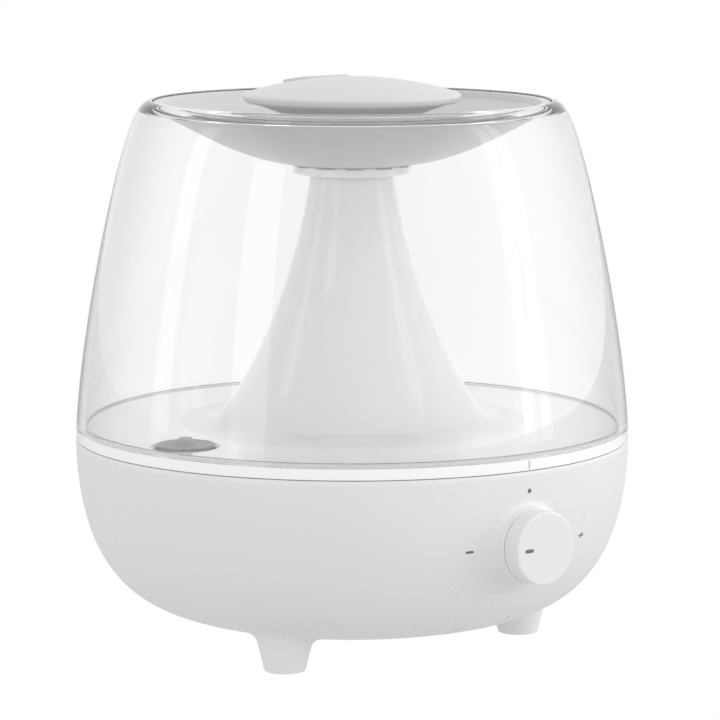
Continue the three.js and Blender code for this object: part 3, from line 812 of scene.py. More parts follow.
# ---------------------------------------------------------------- base
@dataclass
class Base:
    """The bowl on its three feet, with the knob's boss, the bottom cover and the printed marks."""

    shop: FinishShop
    radius: float = 120.6
    widest: float = 94.7
    depth: float = 83.3
    side_power: float = 5.16
    floor_power: float = 2.3
    wall: float = 2.6
    joint: float = 90.0
    cover_radius: float = 56.0
    tongue_half: float = 12.0
    tongue_end: float = 95.0
    tongue_corner: float = 26.0
    gap: float = 0.3
    ease: float = 0.45
    socket_radius: float = 5.2
    shaft_radius: float = 3.9
    boss_radius: float = 15.7
    boss_spread: float = 0.12
    boss_flare: float = 6.5
    foot_radius: float = 8.7
    foot_spread: float = 0.24
    foot_flare: float = 4.6

    def ring_angle(self, radius: np.ndarray, inset: float = 0.0) -> np.ndarray:
        """The bowl's own angle t at a radius, from r = R cos(t)^(2/side power)."""
        share = np.clip(radius / (self.radius - inset), 0, 1)
        return np.arccos(share ** (self.side_power / 2))

    def section(self, t: np.ndarray, inset: float = 0.0) -> tuple[np.ndarray, np.ndarray]:
        """Radius and height of the bowl at its own angle t: powers of the angle's cosine and sine.

        Args:
            t: the angles, 0 at the widest place and a right angle at the bottom.
            inset: how far inside the skin the section lies.

        Returns:
            The radii and the heights.
        """
        radius = (self.radius - inset) * np.clip(np.cos(t), 0, 1) ** (2 / self.side_power)
        height = self.widest - (self.depth - inset) * np.clip(np.sin(t), 0, 1) ** (2 / self.floor_power)
        return radius, height

    def height_at(self, radius: np.ndarray) -> np.ndarray:
        """How high the outside of the bowl is at a radius."""
        return self.section(self.ring_angle(radius))[1]

    def radius_at(self, height: np.ndarray) -> np.ndarray:
        """The outer radius of the bowl at a height."""
        share = np.clip((self.widest - height) / self.depth, 0, 1)
        return self.section(np.arcsin(share ** (self.floor_power / 2)))[0]

    def cover_outline(self, angles: np.ndarray, shrink: float) -> np.ndarray:
        """The cover's edge as a radius at each angle: a disc with a tongue towards the knob.

        The tongue's radius is the tongue_corner norm of its side's and its end's, which rounds its corners.

        Args:
            angles: the angles about the axis, in radians.
            shrink: how far inside the nominal edge the outline lies.

        Returns:
            The radii.
        """
        off = angles + math.pi / 2
        ahead = np.cos(off)
        side = (self.tongue_half - shrink) / np.maximum(np.abs(np.sin(off)), TINY)
        end = np.where(ahead > 0.1, (self.tongue_end - shrink) / np.maximum(ahead, 0.1), TINY)
        tongue = (side**-self.tongue_corner + end**-self.tongue_corner) ** (-1 / self.tongue_corner)
        tongue = np.where(ahead > 0.1, tongue, 0.0)
        return np.maximum(self.cover_radius - shrink, tongue)

    def cover_angles(self) -> np.ndarray:
        """Angles of a full turn, close together where the tongue's sides and corners are."""
        near = np.radians(np.arange(-14, 14, 0.22))
        far = np.radians(np.arange(14, 346, 1.6))
        return np.concatenate([near, far]) - math.pi / 2

    def bowl(self) -> Shape:
        """The bowl's wall: outside from the cover's edge up to the rim, over it, and back down inside."""
        angles = self.cover_angles()
        edge = self.cover_outline(angles, 0.0)
        s = np.linspace(0, 1, 72)[None, :]
        start_out = self.ring_angle(edge + self.ease)[:, None]
        rim_share = ((self.widest - self.joint + 0.5) / self.depth) ** (self.floor_power / 2)
        rim = math.asin(rim_share)
        r_out, z_out = self.section(start_out + (rim - start_out) * s)
        start_in = self.ring_angle(edge, self.wall)[:, None]
        r_in, z_in = self.section(rim + (start_in - rim) * s, self.wall)
        rim_r, rim_z = r_out[:, -1:], self.joint
        over_r = np.concatenate([rim_r - 0.15, rim_r - 0.5, rim_r - self.wall + 0.4], axis=1)
        over_z = np.broadcast_to([rim_z - 0.15, rim_z, rim_z], over_r.shape)
        lip_z = self.height_at(edge)[:, None]
        lip_r = edge[:, None]
        tuck_r = np.concatenate([lip_r, lip_r, lip_r + 0.12], axis=1)
        tuck_z = np.concatenate([lip_z + 1.2, lip_z + self.ease, lip_z + 0.12], axis=1)
        radius = np.concatenate([r_out, over_r, r_in, tuck_r], axis=1)
        height = np.concatenate([z_out, over_z, z_in, tuck_z], axis=1)
        return swept(radius, height, angles).outward()

    def foot(self, x: float, y: float) -> Shape:
        """One foot: a taper that flares into the bowl. Each side ends in a quadratic Bezier arc.

        Args:
            x: the foot's place, from the vessel's axis.
            y: the same.

        Returns:
            The closed foot, its top buried in the bowl's wall.
        """
        angles = round_angles(96)
        cosine, sine = np.cos(angles)[:, None], np.sin(angles)[:, None]

        def bowl_height(r: np.ndarray) -> np.ndarray:
            """The height of the bowl over a point at distance r from the foot's axis."""
            return self.height_at(np.hypot(x + r * cosine, y + r * sine))

        meet = self.foot_radius + self.foot_spread * 15
        for _ in range(4):
            corner_z = bowl_height(np.full_like(cosine, 1.0) * meet)
            meet = self.foot_radius + self.foot_spread * corner_z
        under_z = corner_z - self.foot_flare * 0.9
        under_r = self.foot_radius + self.foot_spread * under_z
        out_r = meet + self.foot_flare
        out_z = bowl_height(out_r)
        t = np.linspace(0, 1, 15)[None, :]
        flare_r = arc(t, under_r, meet, out_r)
        flare_z = arc(t, under_z, corner_z, out_z)
        foot_end = rounded(
            [(0, 0.6, 0), (7.9, 0.6, 0.2), (7.9, 0.2, 0.1), (self.foot_radius, 0.2, 0.7),
             (self.foot_radius + 1, 5.4, 0)], closed=False,
        )[:-1]
        end_r = np.broadcast_to(foot_end[:, 0], (len(angles), len(foot_end)))
        end_z = np.broadcast_to(foot_end[:, 1], end_r.shape)
        s = np.linspace(0.1, 0.95, 8)[None, :]
        wall_z = 1.2 + (under_z - 1.2) * s
        wall_r = self.foot_radius + self.foot_spread * wall_z
        buried = 1.1
        in_r = np.concatenate([out_r * 0.97, out_r * 0.6, out_r * 0], axis=1)
        in_z = np.concatenate([bowl_height(out_r * share) + buried for share in (0.97, 0.6, 0)], axis=1)
        radius = np.concatenate([end_r, wall_r, flare_r, in_r], axis=1)
        height = np.concatenate([end_z, wall_z, flare_z, in_z], axis=1)
        return swept(radius, height, angles).moved(x, y).outward()

    def boss(self, knob_z: float, face: float) -> Shape:
        """The round boss behind the knob, which flares into the bowl on a quadratic Bezier arc.

        Args:
            knob_z: the height of the knob's axis.
            face: how far in front of the vessel's axis the boss's flat face is.

        Returns:
            The closed boss, drawn about the vessel's axis.
        """
        angles = round_angles(128)
        cosine, sine = np.cos(angles)[:, None], np.sin(angles)[:, None]

        def depth(r: np.ndarray) -> np.ndarray:
            """How far in front of the axis the bowl's skin is, at distance r from the knob's axis."""
            skin = self.radius_at(knob_z + r * sine)
            return np.sqrt(np.maximum(skin**2 - (r * cosine) ** 2, 1.0))

        meet = np.full_like(cosine, self.boss_radius)
        for _ in range(4):
            meet = self.boss_radius + self.boss_spread * (face - depth(meet))
        corner = depth(meet)
        rise = face - corner
        reach = self.boss_flare * np.clip(0.35 + rise / 9, 0.35, 1.6)
        start = corner + np.minimum(reach * 0.9, rise * 0.72)
        start_r = self.boss_radius + self.boss_spread * (face - start)
        out_r = meet + reach
        t = np.linspace(0, 1, 16)[None, :]
        flare_r = arc(t, start_r, meet, out_r)
        flare_h = arc(t, start, corner, depth(out_r))
        lip = rounded(
            [(self.shaft_radius, face, 0), (self.boss_radius, face, 0.7),
             (self.boss_radius + 0.2, face - 1.6, 0)], closed=False,
        )[:-1]
        lip_r = np.broadcast_to(lip[:, 0], (len(angles), len(lip)))
        lip_h = np.broadcast_to(lip[:, 1], lip_r.shape)
        buried = 1.2
        back = (out_r * 0.97, np.full_like(out_r, 9.0), np.full_like(out_r, self.shaft_radius))
        back_r = np.concatenate(back, axis=1)
        back_h = np.concatenate([depth(r) - buried for r in back], axis=1)
        radius = np.concatenate([lip_r, flare_r, back_r], axis=1)
        height = np.concatenate([lip_h, flare_h, back_h], axis=1)
        return swept(radius, height, angles).facing_front().moved(z=knob_z).outward()

    def printed(self, outline: np.ndarray, angles: np.ndarray, turn: float, height: float) -> Shape:
        """A thin printed mark that lies on the bowl: its flat outline is wrapped round the bowl's skin.

        Args:
            outline: the mark's edge as a radius at each angle.
            angles: those angles, in radians.
            turn: how far round from the knob its middle is, in degrees, to the right.
            height: how high its middle is.

        Returns:
            The closed mark, drawn about the vessel's axis.
        """
        share = np.array([0, 0.5, 0.94, 1.0, 1.0, 0.94, 0.5, 0])
        lift = np.array([-0.2, -0.2, -0.2, -0.15, 0.02, 0.05, 0.05, 0.05])
        flat = swept(outline[:, None] * share, lift, angles)
        across, up, out = flat.points.T
        z = height + up
        skin = self.radius_at(z)
        angle = math.radians(turn) + across / skin
        points = np.stack([(skin + out) * np.sin(angle), -(skin + out) * np.cos(angle), z], axis=1)
        return Shape(points, flat.faces).outward()

    def cover(self) -> Shape:
        """The bottom cover: part of the bowl's own skin inside the outline, with the fan's intake slots."""
        angles = self.cover_angles()
        edge = self.cover_outline(angles, self.gap)
        steps = np.concatenate([np.linspace(0, 0.96, 26), [0.985, 1.0]])[None, :]
        r_out = (edge - self.ease)[:, None] * steps
        z_out = self.height_at(r_out)
        lip_z = self.height_at(edge)[:, None]
        lip_r = edge[:, None]
        tuck_r = np.concatenate([lip_r - 0.12, lip_r, lip_r], axis=1)
        tuck_z = np.concatenate([lip_z + 0.12, lip_z + self.ease, lip_z + 1.2], axis=1)
        r_in = (edge[:, None] * steps)[:, ::-1]
        z_in = self.section(self.ring_angle(r_in, self.wall), self.wall)[1]
        radius = np.concatenate([r_out, tuck_r, r_in], axis=1)
        height = np.concatenate([z_out, tuck_z, z_in], axis=1)
        skin = swept(radius, height, angles).outward()
        fan_x, fan_y = from_axis("fan_frame")
        slots = []
        for row in range(-3, 4):
            half = math.sqrt(max(22**2 - (row * 6) ** 2, 60))
            slots.append(slot_block(half, 1.4, 0, 30).moved(fan_x, fan_y - 8 + row * 6))
        holes = [rod(2.1, 0, 30, 48).moved(*from_axis(f"cover_screw_{i}")) for i in (1, 2, 3)]
        return carve(skin, *slots, *holes)

    def build(self) -> None:
        """Makes the bowl with its boss and feet, the pads, the cover, its screws and the marks."""
        knob_z = middle("control_knob")[2]
        boss_face = AXIS_Y - low("base_shell")[1]
        socket_z = middle("dc_socket")[2]
        feet = []
        for i in (1, 2, 3):
            x, y = from_axis(f"foot_pad_{i}")
            feet.append(self.foot(x, y))
            profile = rounded([(0, 0, 0), (7.7, 0, 0.5), (7.7, 1.9, 0.3), (0, 1.9, 0)], closed=False)
            pad = turned(profile, 64).moved(x, y)
            self.shop.piece(f"rubber_pad_{i}", pad, "dark_rubber", Body.BASE, f"foot_pad_{i}")
        socket_hole = rod(self.socket_radius, 88, 112).facing_back().moved(z=socket_z)
        shaft_hole = rod(self.shaft_radius, 100, 119).facing_front().moved(z=knob_z)
        bowl = carve(self.bowl(), socket_hole, shaft_hole)
        whole = joined(bowl, self.boss(knob_z, boss_face), *feet)
        self.shop.piece("bowl_shell", whole, "satin_white", Body.BASE, "base_shell")
        self.shop.piece("intake_cover", self.cover(), "satin_white", Body.BASE, "bottom_cover")
        for i in (1, 2, 3):
            self.screw(f"cover_screw_{i}")
        self.marks()
        self.socket(socket_z)

    def screw(self, node: str) -> None:
        """A pan-head screw with a cross recess, head down.

        Args:
            node: the CAD screw that it stands for.
        """
        bottom, top = heights(node)
        head = high(node)[0] - middle(node)[0]
        profile = rounded(
            [(0, bottom, 0), (head * 0.72, bottom, 1.0), (head, bottom + 1.5, 0.2), (head, bottom + 1.7, 0.1),
             (1.5, bottom + 1.7, 0.1), (1.5, top - 1, 0), (0, top, 0)], closed=False,
        )
        body = turned(profile, 48)
        bar = slot_block(1.7, 0.35, bottom - 1, bottom + 1.1)
        cut = carve(body, bar, bar.turned_by(90)).moved(*from_axis(node))
        self.shop.piece(f"{node}_cross", cut, "steel", Body.BASE, node)

    def marks(self) -> None:
        """The minus, dot and plus printed round the knob."""
        angles = round_angles(192)
        plus = np.maximum(bar_outline(angles, 2.1, 0.36), bar_outline(angles + math.pi / 2, 1.3, 0.42))
        placed = {
            "mark_minus": (bar_outline(angles, 1.9, 0.55), -13.0, 58.1),
            "mark_dot": (np.full_like(angles, 1.0), 0.1, 81.8),
            "mark_plus": (plus, 18.3, 57.7),
        }
        for name, (outline, turn, height) in placed.items():
            self.shop.piece(name, self.printed(outline, angles, turn, height), "print_grey", Body.BASE)

    def socket(self, z: float) -> None:
        """The power socket: a round barrel with a flared mouth and a centre pin.

        Args:
            z: the height of its axis.
        """
        face = high("dc_socket")[1] - AXIS_Y
        back = low("dc_socket")[1] - AXIS_Y
        barrel = rounded(
            [(2.8, back + 6, 0), (2.8, face - 0.6, 0), (3.3, face, 0.2), (4.9, face, 0.4), (4.9, back, 0.3),
             (2.8, back, 0)]
        )
        tip = face - 0.8
        pin = rounded([(0, back, 0), (1.0, back, 0), (1.0, tip, 0.5), (0, tip, 0)], closed=False)
        plug = rounded(
            [(0, back - 1.5, 0), (5.6, back - 1.5, 0.3), (5.6, back + 1, 0.3), (0, back + 1, 0)], closed=False
        )
        whole = joined(turned(barrel, 64), turned(pin, 32), turned(plug, 64)).facing_back().moved(z=z)
        self.shop.piece("power_socket", whole, "black_plastic", Body.BASE, "dc_socket")


def bar_outline(angles: np.ndarray, half_length: float, half_width: float) -> np.ndarray:
    """A round-ended bar's edge as a radius at each angle: the nearer of its long sides and its end arcs.

    Args:
        angles: the angles in radians, from the bar's own length.
        half_length: half of its length.
        half_width: half of its width, which is also its ends' radius.

    Returns:
        The radii.
    """
    cosine, sine = np.abs(np.cos(angles)), np.abs(np.sin(angles))
    side = half_width / np.maximum(sine, TINY)
    centre = half_length - half_width
    end = centre * cosine + np.sqrt(np.maximum(half_width**2 - (centre * sine) ** 2, 0))
    return np.where(side * cosine <= centre, side, end)


def slot_block(half_length: float, half_width: float, bottom: float, top: float) -> Shape:
    """An upright block whose outline is a round-ended bar that lies along X.

    Args:
        half_length: half of its length.
        half_width: half of its width.
        bottom: its lowest height.
        top: its highest height.

    Returns:
        The closed block.
    """
    angles = round_angles(128)
    edge = bar_outline(angles, half_length, half_width)
    radius = edge[:, None] * np.array([0.0, 1.0, 1.0, 0.0])
    return swept(radius, np.array([bottom, bottom, top, top]), angles).outward()


# ---------------------------------------------------------------- basin, float
@dataclass
class Basin:
    """The water basin in the base, with the float on its post, seen when the tank is lifted off."""

    shop: FinishShop
    wall: float = 2.5
    top: float = 89.7
    floor: float = 76.4
    well: float = 22.0
    riser: float = 10.0
    riser_y: float = 62.0

    def build(self) -> None:
        """Makes the basin, the float and its clip."""
        rim = high("water_basin")[0] - AXIS_X
        under = self.floor - self.wall
        well_floor = high("transducer_gasket")[2] + 2.7
        well_out = self.well + self.wall
        inner = rim - self.wall
        shell = rounded(
            [(9, well_floor - 2.4, 0.3), (well_out - 1, well_floor - 2.4, 2), (well_out, under, 1),
             (inner - 1, under, 3), (rim, 80, 3), (rim, self.top, 0.6), (inner, self.top, 0.6),
             (inner, self.floor, 5), (self.well, self.floor, 1.6), (self.well, well_floor, 3),
             (9, well_floor, 0.8)]
        )
        float_x, float_y = from_axis("level_float")
        post = rounded([(0, under + 1, 0), (2.5, under + 1, 0), (2.5, 89.4, 0.5), (0, 89.4, 0)], closed=False)
        pipe = collar(self.riser, self.riser + 2, under - 0.2, 87, (0.3, 0.3, 0.6, 0.6), 96)
        hole = rod(self.riser + 0.4, under - 3, self.floor + 3, 96)
        pusher = rounded([(0, under + 1, 0), (4.5, under + 1, 0), (3, 79.7, 0.6), (0, 79.7, 0)], closed=False)
        pillar = rounded([(1.9, 15.2, 0), (3.6, 15.2, 0.3), (4.6, under + 0.8, 0), (1.9, under + 0.8, 0)])
        parts = [
            carve(turned(shell), hole.moved(y=self.riser_y)), turned(post, 64).moved(float_x, float_y),
            pipe.moved(y=self.riser_y), turned(pusher, 64).moved(*from_axis("valve_disc")),
            *(turned(pillar, 48).moved(*from_axis(f"cover_screw_{i}")) for i in (1, 2, 3)),
        ]
        pillars = (f"basin_pillar_{i}" for i in (1, 2, 3))
        self.shop.piece(
            "basin_shell", joined(*parts), "gloss_white", Body.BASE, "water_basin", "mist_well", "air_riser",
            *pillars,
        )
        ring = collar(3.1, 9, *heights("level_float"), (0.4, 1.2, 1.2, 0.4), 96).moved(float_x, float_y)
        self.shop.piece("float_ring", ring, "inner_grey", Body.FLOAT, "level_float")
        clip = collar(2.8, 4.6, *heights("float_clip"), (0.2, 0.4, 0.6, 0.2)).moved(float_x, float_y)
        self.shop.piece("post_clip", clip, "gloss_white", Body.BASE, "float_clip")


# ---------------------------------------------------------------- knob
@dataclass
class Knob:
    """The dial on the front, with its inlaid pointer."""

    shop: FinishShop
    edge: float = 0.9

    def build(self) -> None:
        """Makes the dial and the pointer on its face."""
        bottom, top = low("control_knob"), high("control_knob")
        radius = (top[0] - bottom[0]) / 2
        z = (top[2] + bottom[2]) / 2
        face, back = AXIS_Y - bottom[1], AXIS_Y - top[1]
        under = face - 2.4
        body = rounded(
            [(0, face, 0), (radius, face, self.edge), (radius, back, 0.35), (radius - 2.2, back, 0.35),
             (radius - 2.2, under, 0.6), (4.9, under, 0.4), (4.9, back + 3, 0.2), (3.1, back + 3, 0.2),
             (3.1, under, 0.2), (0, under, 0)], closed=False, steps=8,
        )
        dial = turned(body, 192).facing_front().moved(z=z)
        self.shop.piece("dial_knob", dial, "satin_white", Body.KNOB, "control_knob")
        pointer_x = middle("knob_pointer")[0] - AXIS_X
        angles = round_angles(96)
        half_length = (high("knob_pointer")[0] - low("knob_pointer")[0]) / 2
        edge = bar_outline(angles, half_length, 0.78)[:, None] * np.array([0, 1.0, 1.0, 0.95, 0.0])
        lift = np.array([-0.3, -0.3, 0.02, 0.04, 0.04]) + face
        dash = swept(edge, lift, angles).facing_front().moved(pointer_x, 0, z)
        self.shop.piece("dial_pointer", dash.outward(), "print_grey", Body.KNOB, "knob_pointer")


# ---------------------------------------------------------------- tank
@dataclass
class Tank:
    """The clear tank, its white floor with the chimney, the seal and the fill valve."""

    shop: FinishShop
    foot: float = 120.33
    foot_z: float = 95.05
    wall: float = 3.5
    shoulder_wall: float = 2.0
    mouth: float = 86.3
    top: float = 236.6
    ledge: float = 83.6
    ledge_z: float = 233.6
    floor_top: float = 96.3
    band_top: float = 95.0
    chimney_foot: float = 75.0
    chimney_wall: float = 2.2
    hairline: float = 0.03
    valve_raise: float = 0.3
    seal_share: float = 0.4

    def outside(self) -> np.ndarray:
        """The outside of the tank from its foot to the middle of the mouth's round edge."""
        side = bezier((self.foot, self.foot_z), (118.3, 135.7), (103, 209.2), (94.8, 228), 80)
        shoulder = bezier((94.8, 228), (93.1, 232), (90.6, self.top - 0.3), (self.mouth + 0.6, self.top), 28)
        return np.concatenate([side, shoulder[1:]])

    def shell(self) -> Shape:
        """The clear wall, thinner towards the shoulder, with the rabbet that the lid rests in."""
        outside = self.outside()
        height = (outside[:, 1] - self.foot_z) / (self.top - self.foot_z)
        inside = beside(outside, self.wall - (self.wall - self.shoulder_wall) * height)
        inside = inside[inside[:, 1] < self.ledge_z - self.shoulder_wall][::-1]
        inside[-1] = (self.foot - self.wall, self.foot_z)
        under = self.ledge_z - self.shoulder_wall
        corners = [
            *plain(outside[:-1]), (self.mouth, self.top, 0.4), (self.mouth, self.ledge_z, 0.2),
            (self.ledge, self.ledge_z, 0.4), (self.ledge, under, 0.5),
            (float(inside[0, 0]) - 0.6, under, 0.3), *plain(inside),
        ]
        return turned(rounded(corners), 384)

    def flare(self) -> np.ndarray:
        """The chimney's outside from top to floor: a Bezier flare whose foot runs out level."""
        flare = bezier((18, 205.5), (26.32, 142.93), (55.35, 96.75), (62.4, 96.3), 120)
        kept = flare[flare[:, 1] > 98.6]
        lean = kept[-1] - kept[-2]
        lean /= np.linalg.norm(lean)
        end = (self.chimney_foot, self.floor_top)
        foot = bezier(kept[-1], kept[-1] + lean * 3.2, (67.5, self.floor_top), end, 20)
        return np.concatenate([kept, foot[1:]])

    def floor(self) -> Shape:
        """The tank's floor, its outer band and skirt, with the valve's seat sunk into it."""
        inner = self.foot - self.wall - self.hairline
        skirt = 114.4
        middle_r = self.chimney_foot + self.hairline
        under = self.floor_top - 2.6
        corners = [
            (middle_r, self.floor_top, 0.1), (inner, self.floor_top, 0.3), (inner, self.band_top, 0.1),
            (self.foot, self.band_top, 0.25), (self.foot, 90.3, 0.35), (skirt, 90.3, 0.3), (skirt, 86, 0.4),
            (skirt - 2.4, 86, 0.4), (skirt - 2.4, under, 0.8), (middle_r, under, 0.1),
        ]
        body = turned(rounded(corners), 256)
        x, y = from_axis("valve_disc")
        seat = rounded(
            [(0, 92.9, 0), (13.2, 92.9, 0.4), (13.2, 95, 0), (14.5, 96.3, 0), (15.4, 97.2, 0), (0, 97.2, 0)],
            closed=False,
        )
        below = rounded([(0, 91.0, 0), (14.6, 91.0, 0.8), (15.6, 94.2, 0), (0, 94.2, 0)], closed=False)
        cup = carve(carve(turned(below, 128), turned(seat, 128)), rod(2.5, 90, 94, 48))
        return joined(carve(body, turned(seat, 128).moved(x, y)), cup.moved(x, y))

    def chimney(self) -> Shape:
        """The chimney: its flared outside, and its bore a wall's thickness inside."""
        outside = self.flare()
        bore = beside(outside, -self.chimney_wall)
        bore[0] = (outside[0, 0] - self.chimney_wall, outside[0, 1])
        under = self.floor_top - self.chimney_wall
        bore[-1] = (self.chimney_foot, under)
        corners = [
            (float(outside[0, 0]), float(outside[0, 1]), 0.5), *plain(outside[1:-1]),
            (self.chimney_foot, self.floor_top, 0.1), (self.chimney_foot, under, 0.1),
            *plain(bore[::-1][1:-1]), (float(bore[0, 0]), float(bore[0, 1]), 0.4),
        ]
        return turned(rounded(corners), 256)

    def build(self) -> None:
        """Makes the clear wall, the floor, the chimney, the seal, the mark over the knob and the valve."""
        self.shop.piece("clear_wall", self.shell(), "clear_plastic", Body.TANK, "tank_shell")
        self.shop.piece("floor_plate", self.floor(), "gloss_white", Body.TANK, "tank_floor")
        self.shop.piece("chimney", self.chimney(), "painted_shade_chimney_white", Body.TANK, "tank_chimney")
        bottom, top = heights("tank_seal")
        outer = self.foot - self.wall - 0.3
        top = bottom + (top - bottom) * self.seal_share
        seal = collar(outer - 0.7, outer, bottom, top, (0.1, 0.1, 0.1, 0.1), 256)
        self.shop.piece("seal_ring", seal, "soft_rubber", Body.TANK, "tank_seal")
        mark = slot_block(0.4, 0.2, self.band_top - 4.1, self.band_top - 0.5).moved(0, -self.foot)
        self.shop.piece("front_mark", mark, "inner_grey", Body.TANK)
        self.valve()

    def valve(self) -> None:
        """The fill valve: a rubber disc with a turned-up edge, its stem's button and the retainer below."""
        x, y = from_axis("valve_disc")
        radius = (high("valve_disc") - low("valve_disc"))[0] / 2
        bottom, top = np.array(heights("valve_disc")) + self.valve_raise
        disc = rounded(
            [(2.35, bottom, 0.2), (radius - 0.8, bottom, 0.5), (radius, top, 0.35), (radius - 1.1, top, 0.3),
             (radius - 1.5, top - 0.35, 0.2), (4.6, top - 0.35, 0.3), (4.2, top, 0.2), (2.35, top, 0.2)]
        )
        self.shop.piece("valve_flap", turned(disc, 128).moved(x, y), "soft_rubber", Body.VALVE, "valve_disc")
        bottom, top = heights("valve_stem")
        top += self.valve_raise + 1.0
        stem = rounded(
            [(0, bottom, 0), (1.6, bottom, 0.5), (2, bottom + 1, 0.2), (2, top - 2.8, 0),
             (3.25, top - 2.8, 0.2), (3.25, top - 0.9, 0.3), (2.4, top, 0.5), (0, top, 0)], closed=False,
        )
        self.shop.piece("valve_pin", turned(stem, 64).moved(x, y), "inner_grey", Body.VALVE, "valve_stem")
        washer = collar(2.3, 4.8, *heights("valve_retainer"), (0.2, 0.5, 0.3, 0.2)).moved(x, y)
        self.shop.piece("valve_washer", washer, "inner_grey", Body.VALVE, "valve_retainer")


# ---------------------------------------------------------------- lid
@dataclass
class Lid:
    """The dished lid with its mist tube, and the strainer ring under it."""

    shop: FinishShop
    rim: float = 86.0
    rim_top: float = 235.9
    rim_under: float = 233.9
    wall: float = 2.2
    inner: float = 26.4
    tube: float = 18.4
    spokes: int = 6
    first_spoke: float = -94.5
    strainer_width: float = 6.5
    tooth_pitch: float = 30.0
    tooth_half: float = 9.0

    def dish(self) -> Shape:
        """The dish: its underside is a Bezier sag from the rim to the middle ring, its top a wall above."""
        rim_in = 83.0
        under = bezier((rim_in, 231.6), (70, 224), (48, 210.3), (self.inner, 208.6), 48)
        top = beside(under, -self.wall)[::-1]
        top[0] = (self.inner, 208.6 + self.wall)
        corners = [
            (self.rim, self.rim_under, 0.3), (rim_in, self.rim_under, 0.3), *plain(under), *plain(top[:-1]),
            (rim_in - 1, self.rim_top, 0.5), (self.rim, self.rim_top, 0.6),
        ]
        return turned(rounded(corners), 256)

    def mist_tube(self) -> Shape:
        """The tube that the mist rises through, with the six spokes that hold it."""
        tube = collar(self.tube - 2, self.tube, 206.2, 233, (0.4, 0.4, 0.6, 0.6), 160)
        return joined(tube, *self.bars())

    def bars(self) -> list[Shape]:
        """Six spokes between the mist tube and the dish, each a round-edged bar carried outwards."""
        section = rounded([(-1.1, -1, 0.4), (1.1, -1, 0.4), (1.1, 1, 0.4), (-1.1, 1, 0.4)])
        reach = np.array([self.tube - 0.7, self.inner - 0.1])
        made = []
        for angle in np.radians(self.first_spoke + 15 + np.arange(self.spokes) * 360 / self.spokes):
            out = np.array([math.cos(angle), math.sin(angle), 0])
            path = reach[:, None] * out + np.array([0, 0, 210.0])
            side = np.tile([-out[1], out[0], 0], (2, 1))
            made.append(carried(section, path, side, np.tile([0, 0, 1.0], (2, 1)), loop=False))
        return made

    def strainer(self) -> Shape:
        """The strainer ring: its top edge drops between the teeth, by a squared-off wave of the angle."""
        angles = round_angles(720)
        outer = high("strainer_ring")[0] - AXIS_X
        bottom, top = heights("strainer_ring")
        inner = outer - self.strainer_width
        phase = (np.degrees(angles) - self.first_spoke) % self.tooth_pitch
        away = np.minimum(phase, self.tooth_pitch - phase)
        tooth = 1 / (1 + np.exp(-(away - self.tooth_half) / 0.35))
        lip = (top - 0.6) + 0.5 * tooth
        ledge = bottom + 1.7
        section = [
            (inner, bottom), (outer - 0.6, bottom), (outer, bottom + 0.6), (outer, lip - 0.3),
            (outer - 0.3, lip), (outer - 1.9, lip), (outer - 2.2, lip - 0.3), (outer - 2.2, ledge),
            (inner + 0.3, ledge), (inner, ledge - 0.3),
        ]
        radius = np.array([r for r, _ in section])
        height = np.stack([np.broadcast_to(z, angles.shape) for _, z in section], axis=1)
        return swept(radius, height, angles).outward()

    def build(self) -> None:
        """Makes the dish, the mist tube and the strainer ring."""
        self.shop.piece("pouring_dish", self.dish(), "painted_shade_lid_white", Body.LID, "lid_dish")
        self.shop.piece("rising_tube", self.mist_tube(), "painted_shade_lid_white", Body.LID, "mist_tube")
        self.shop.piece("strainer", self.strainer(), "gloss_white", Body.LID, "strainer_ring")


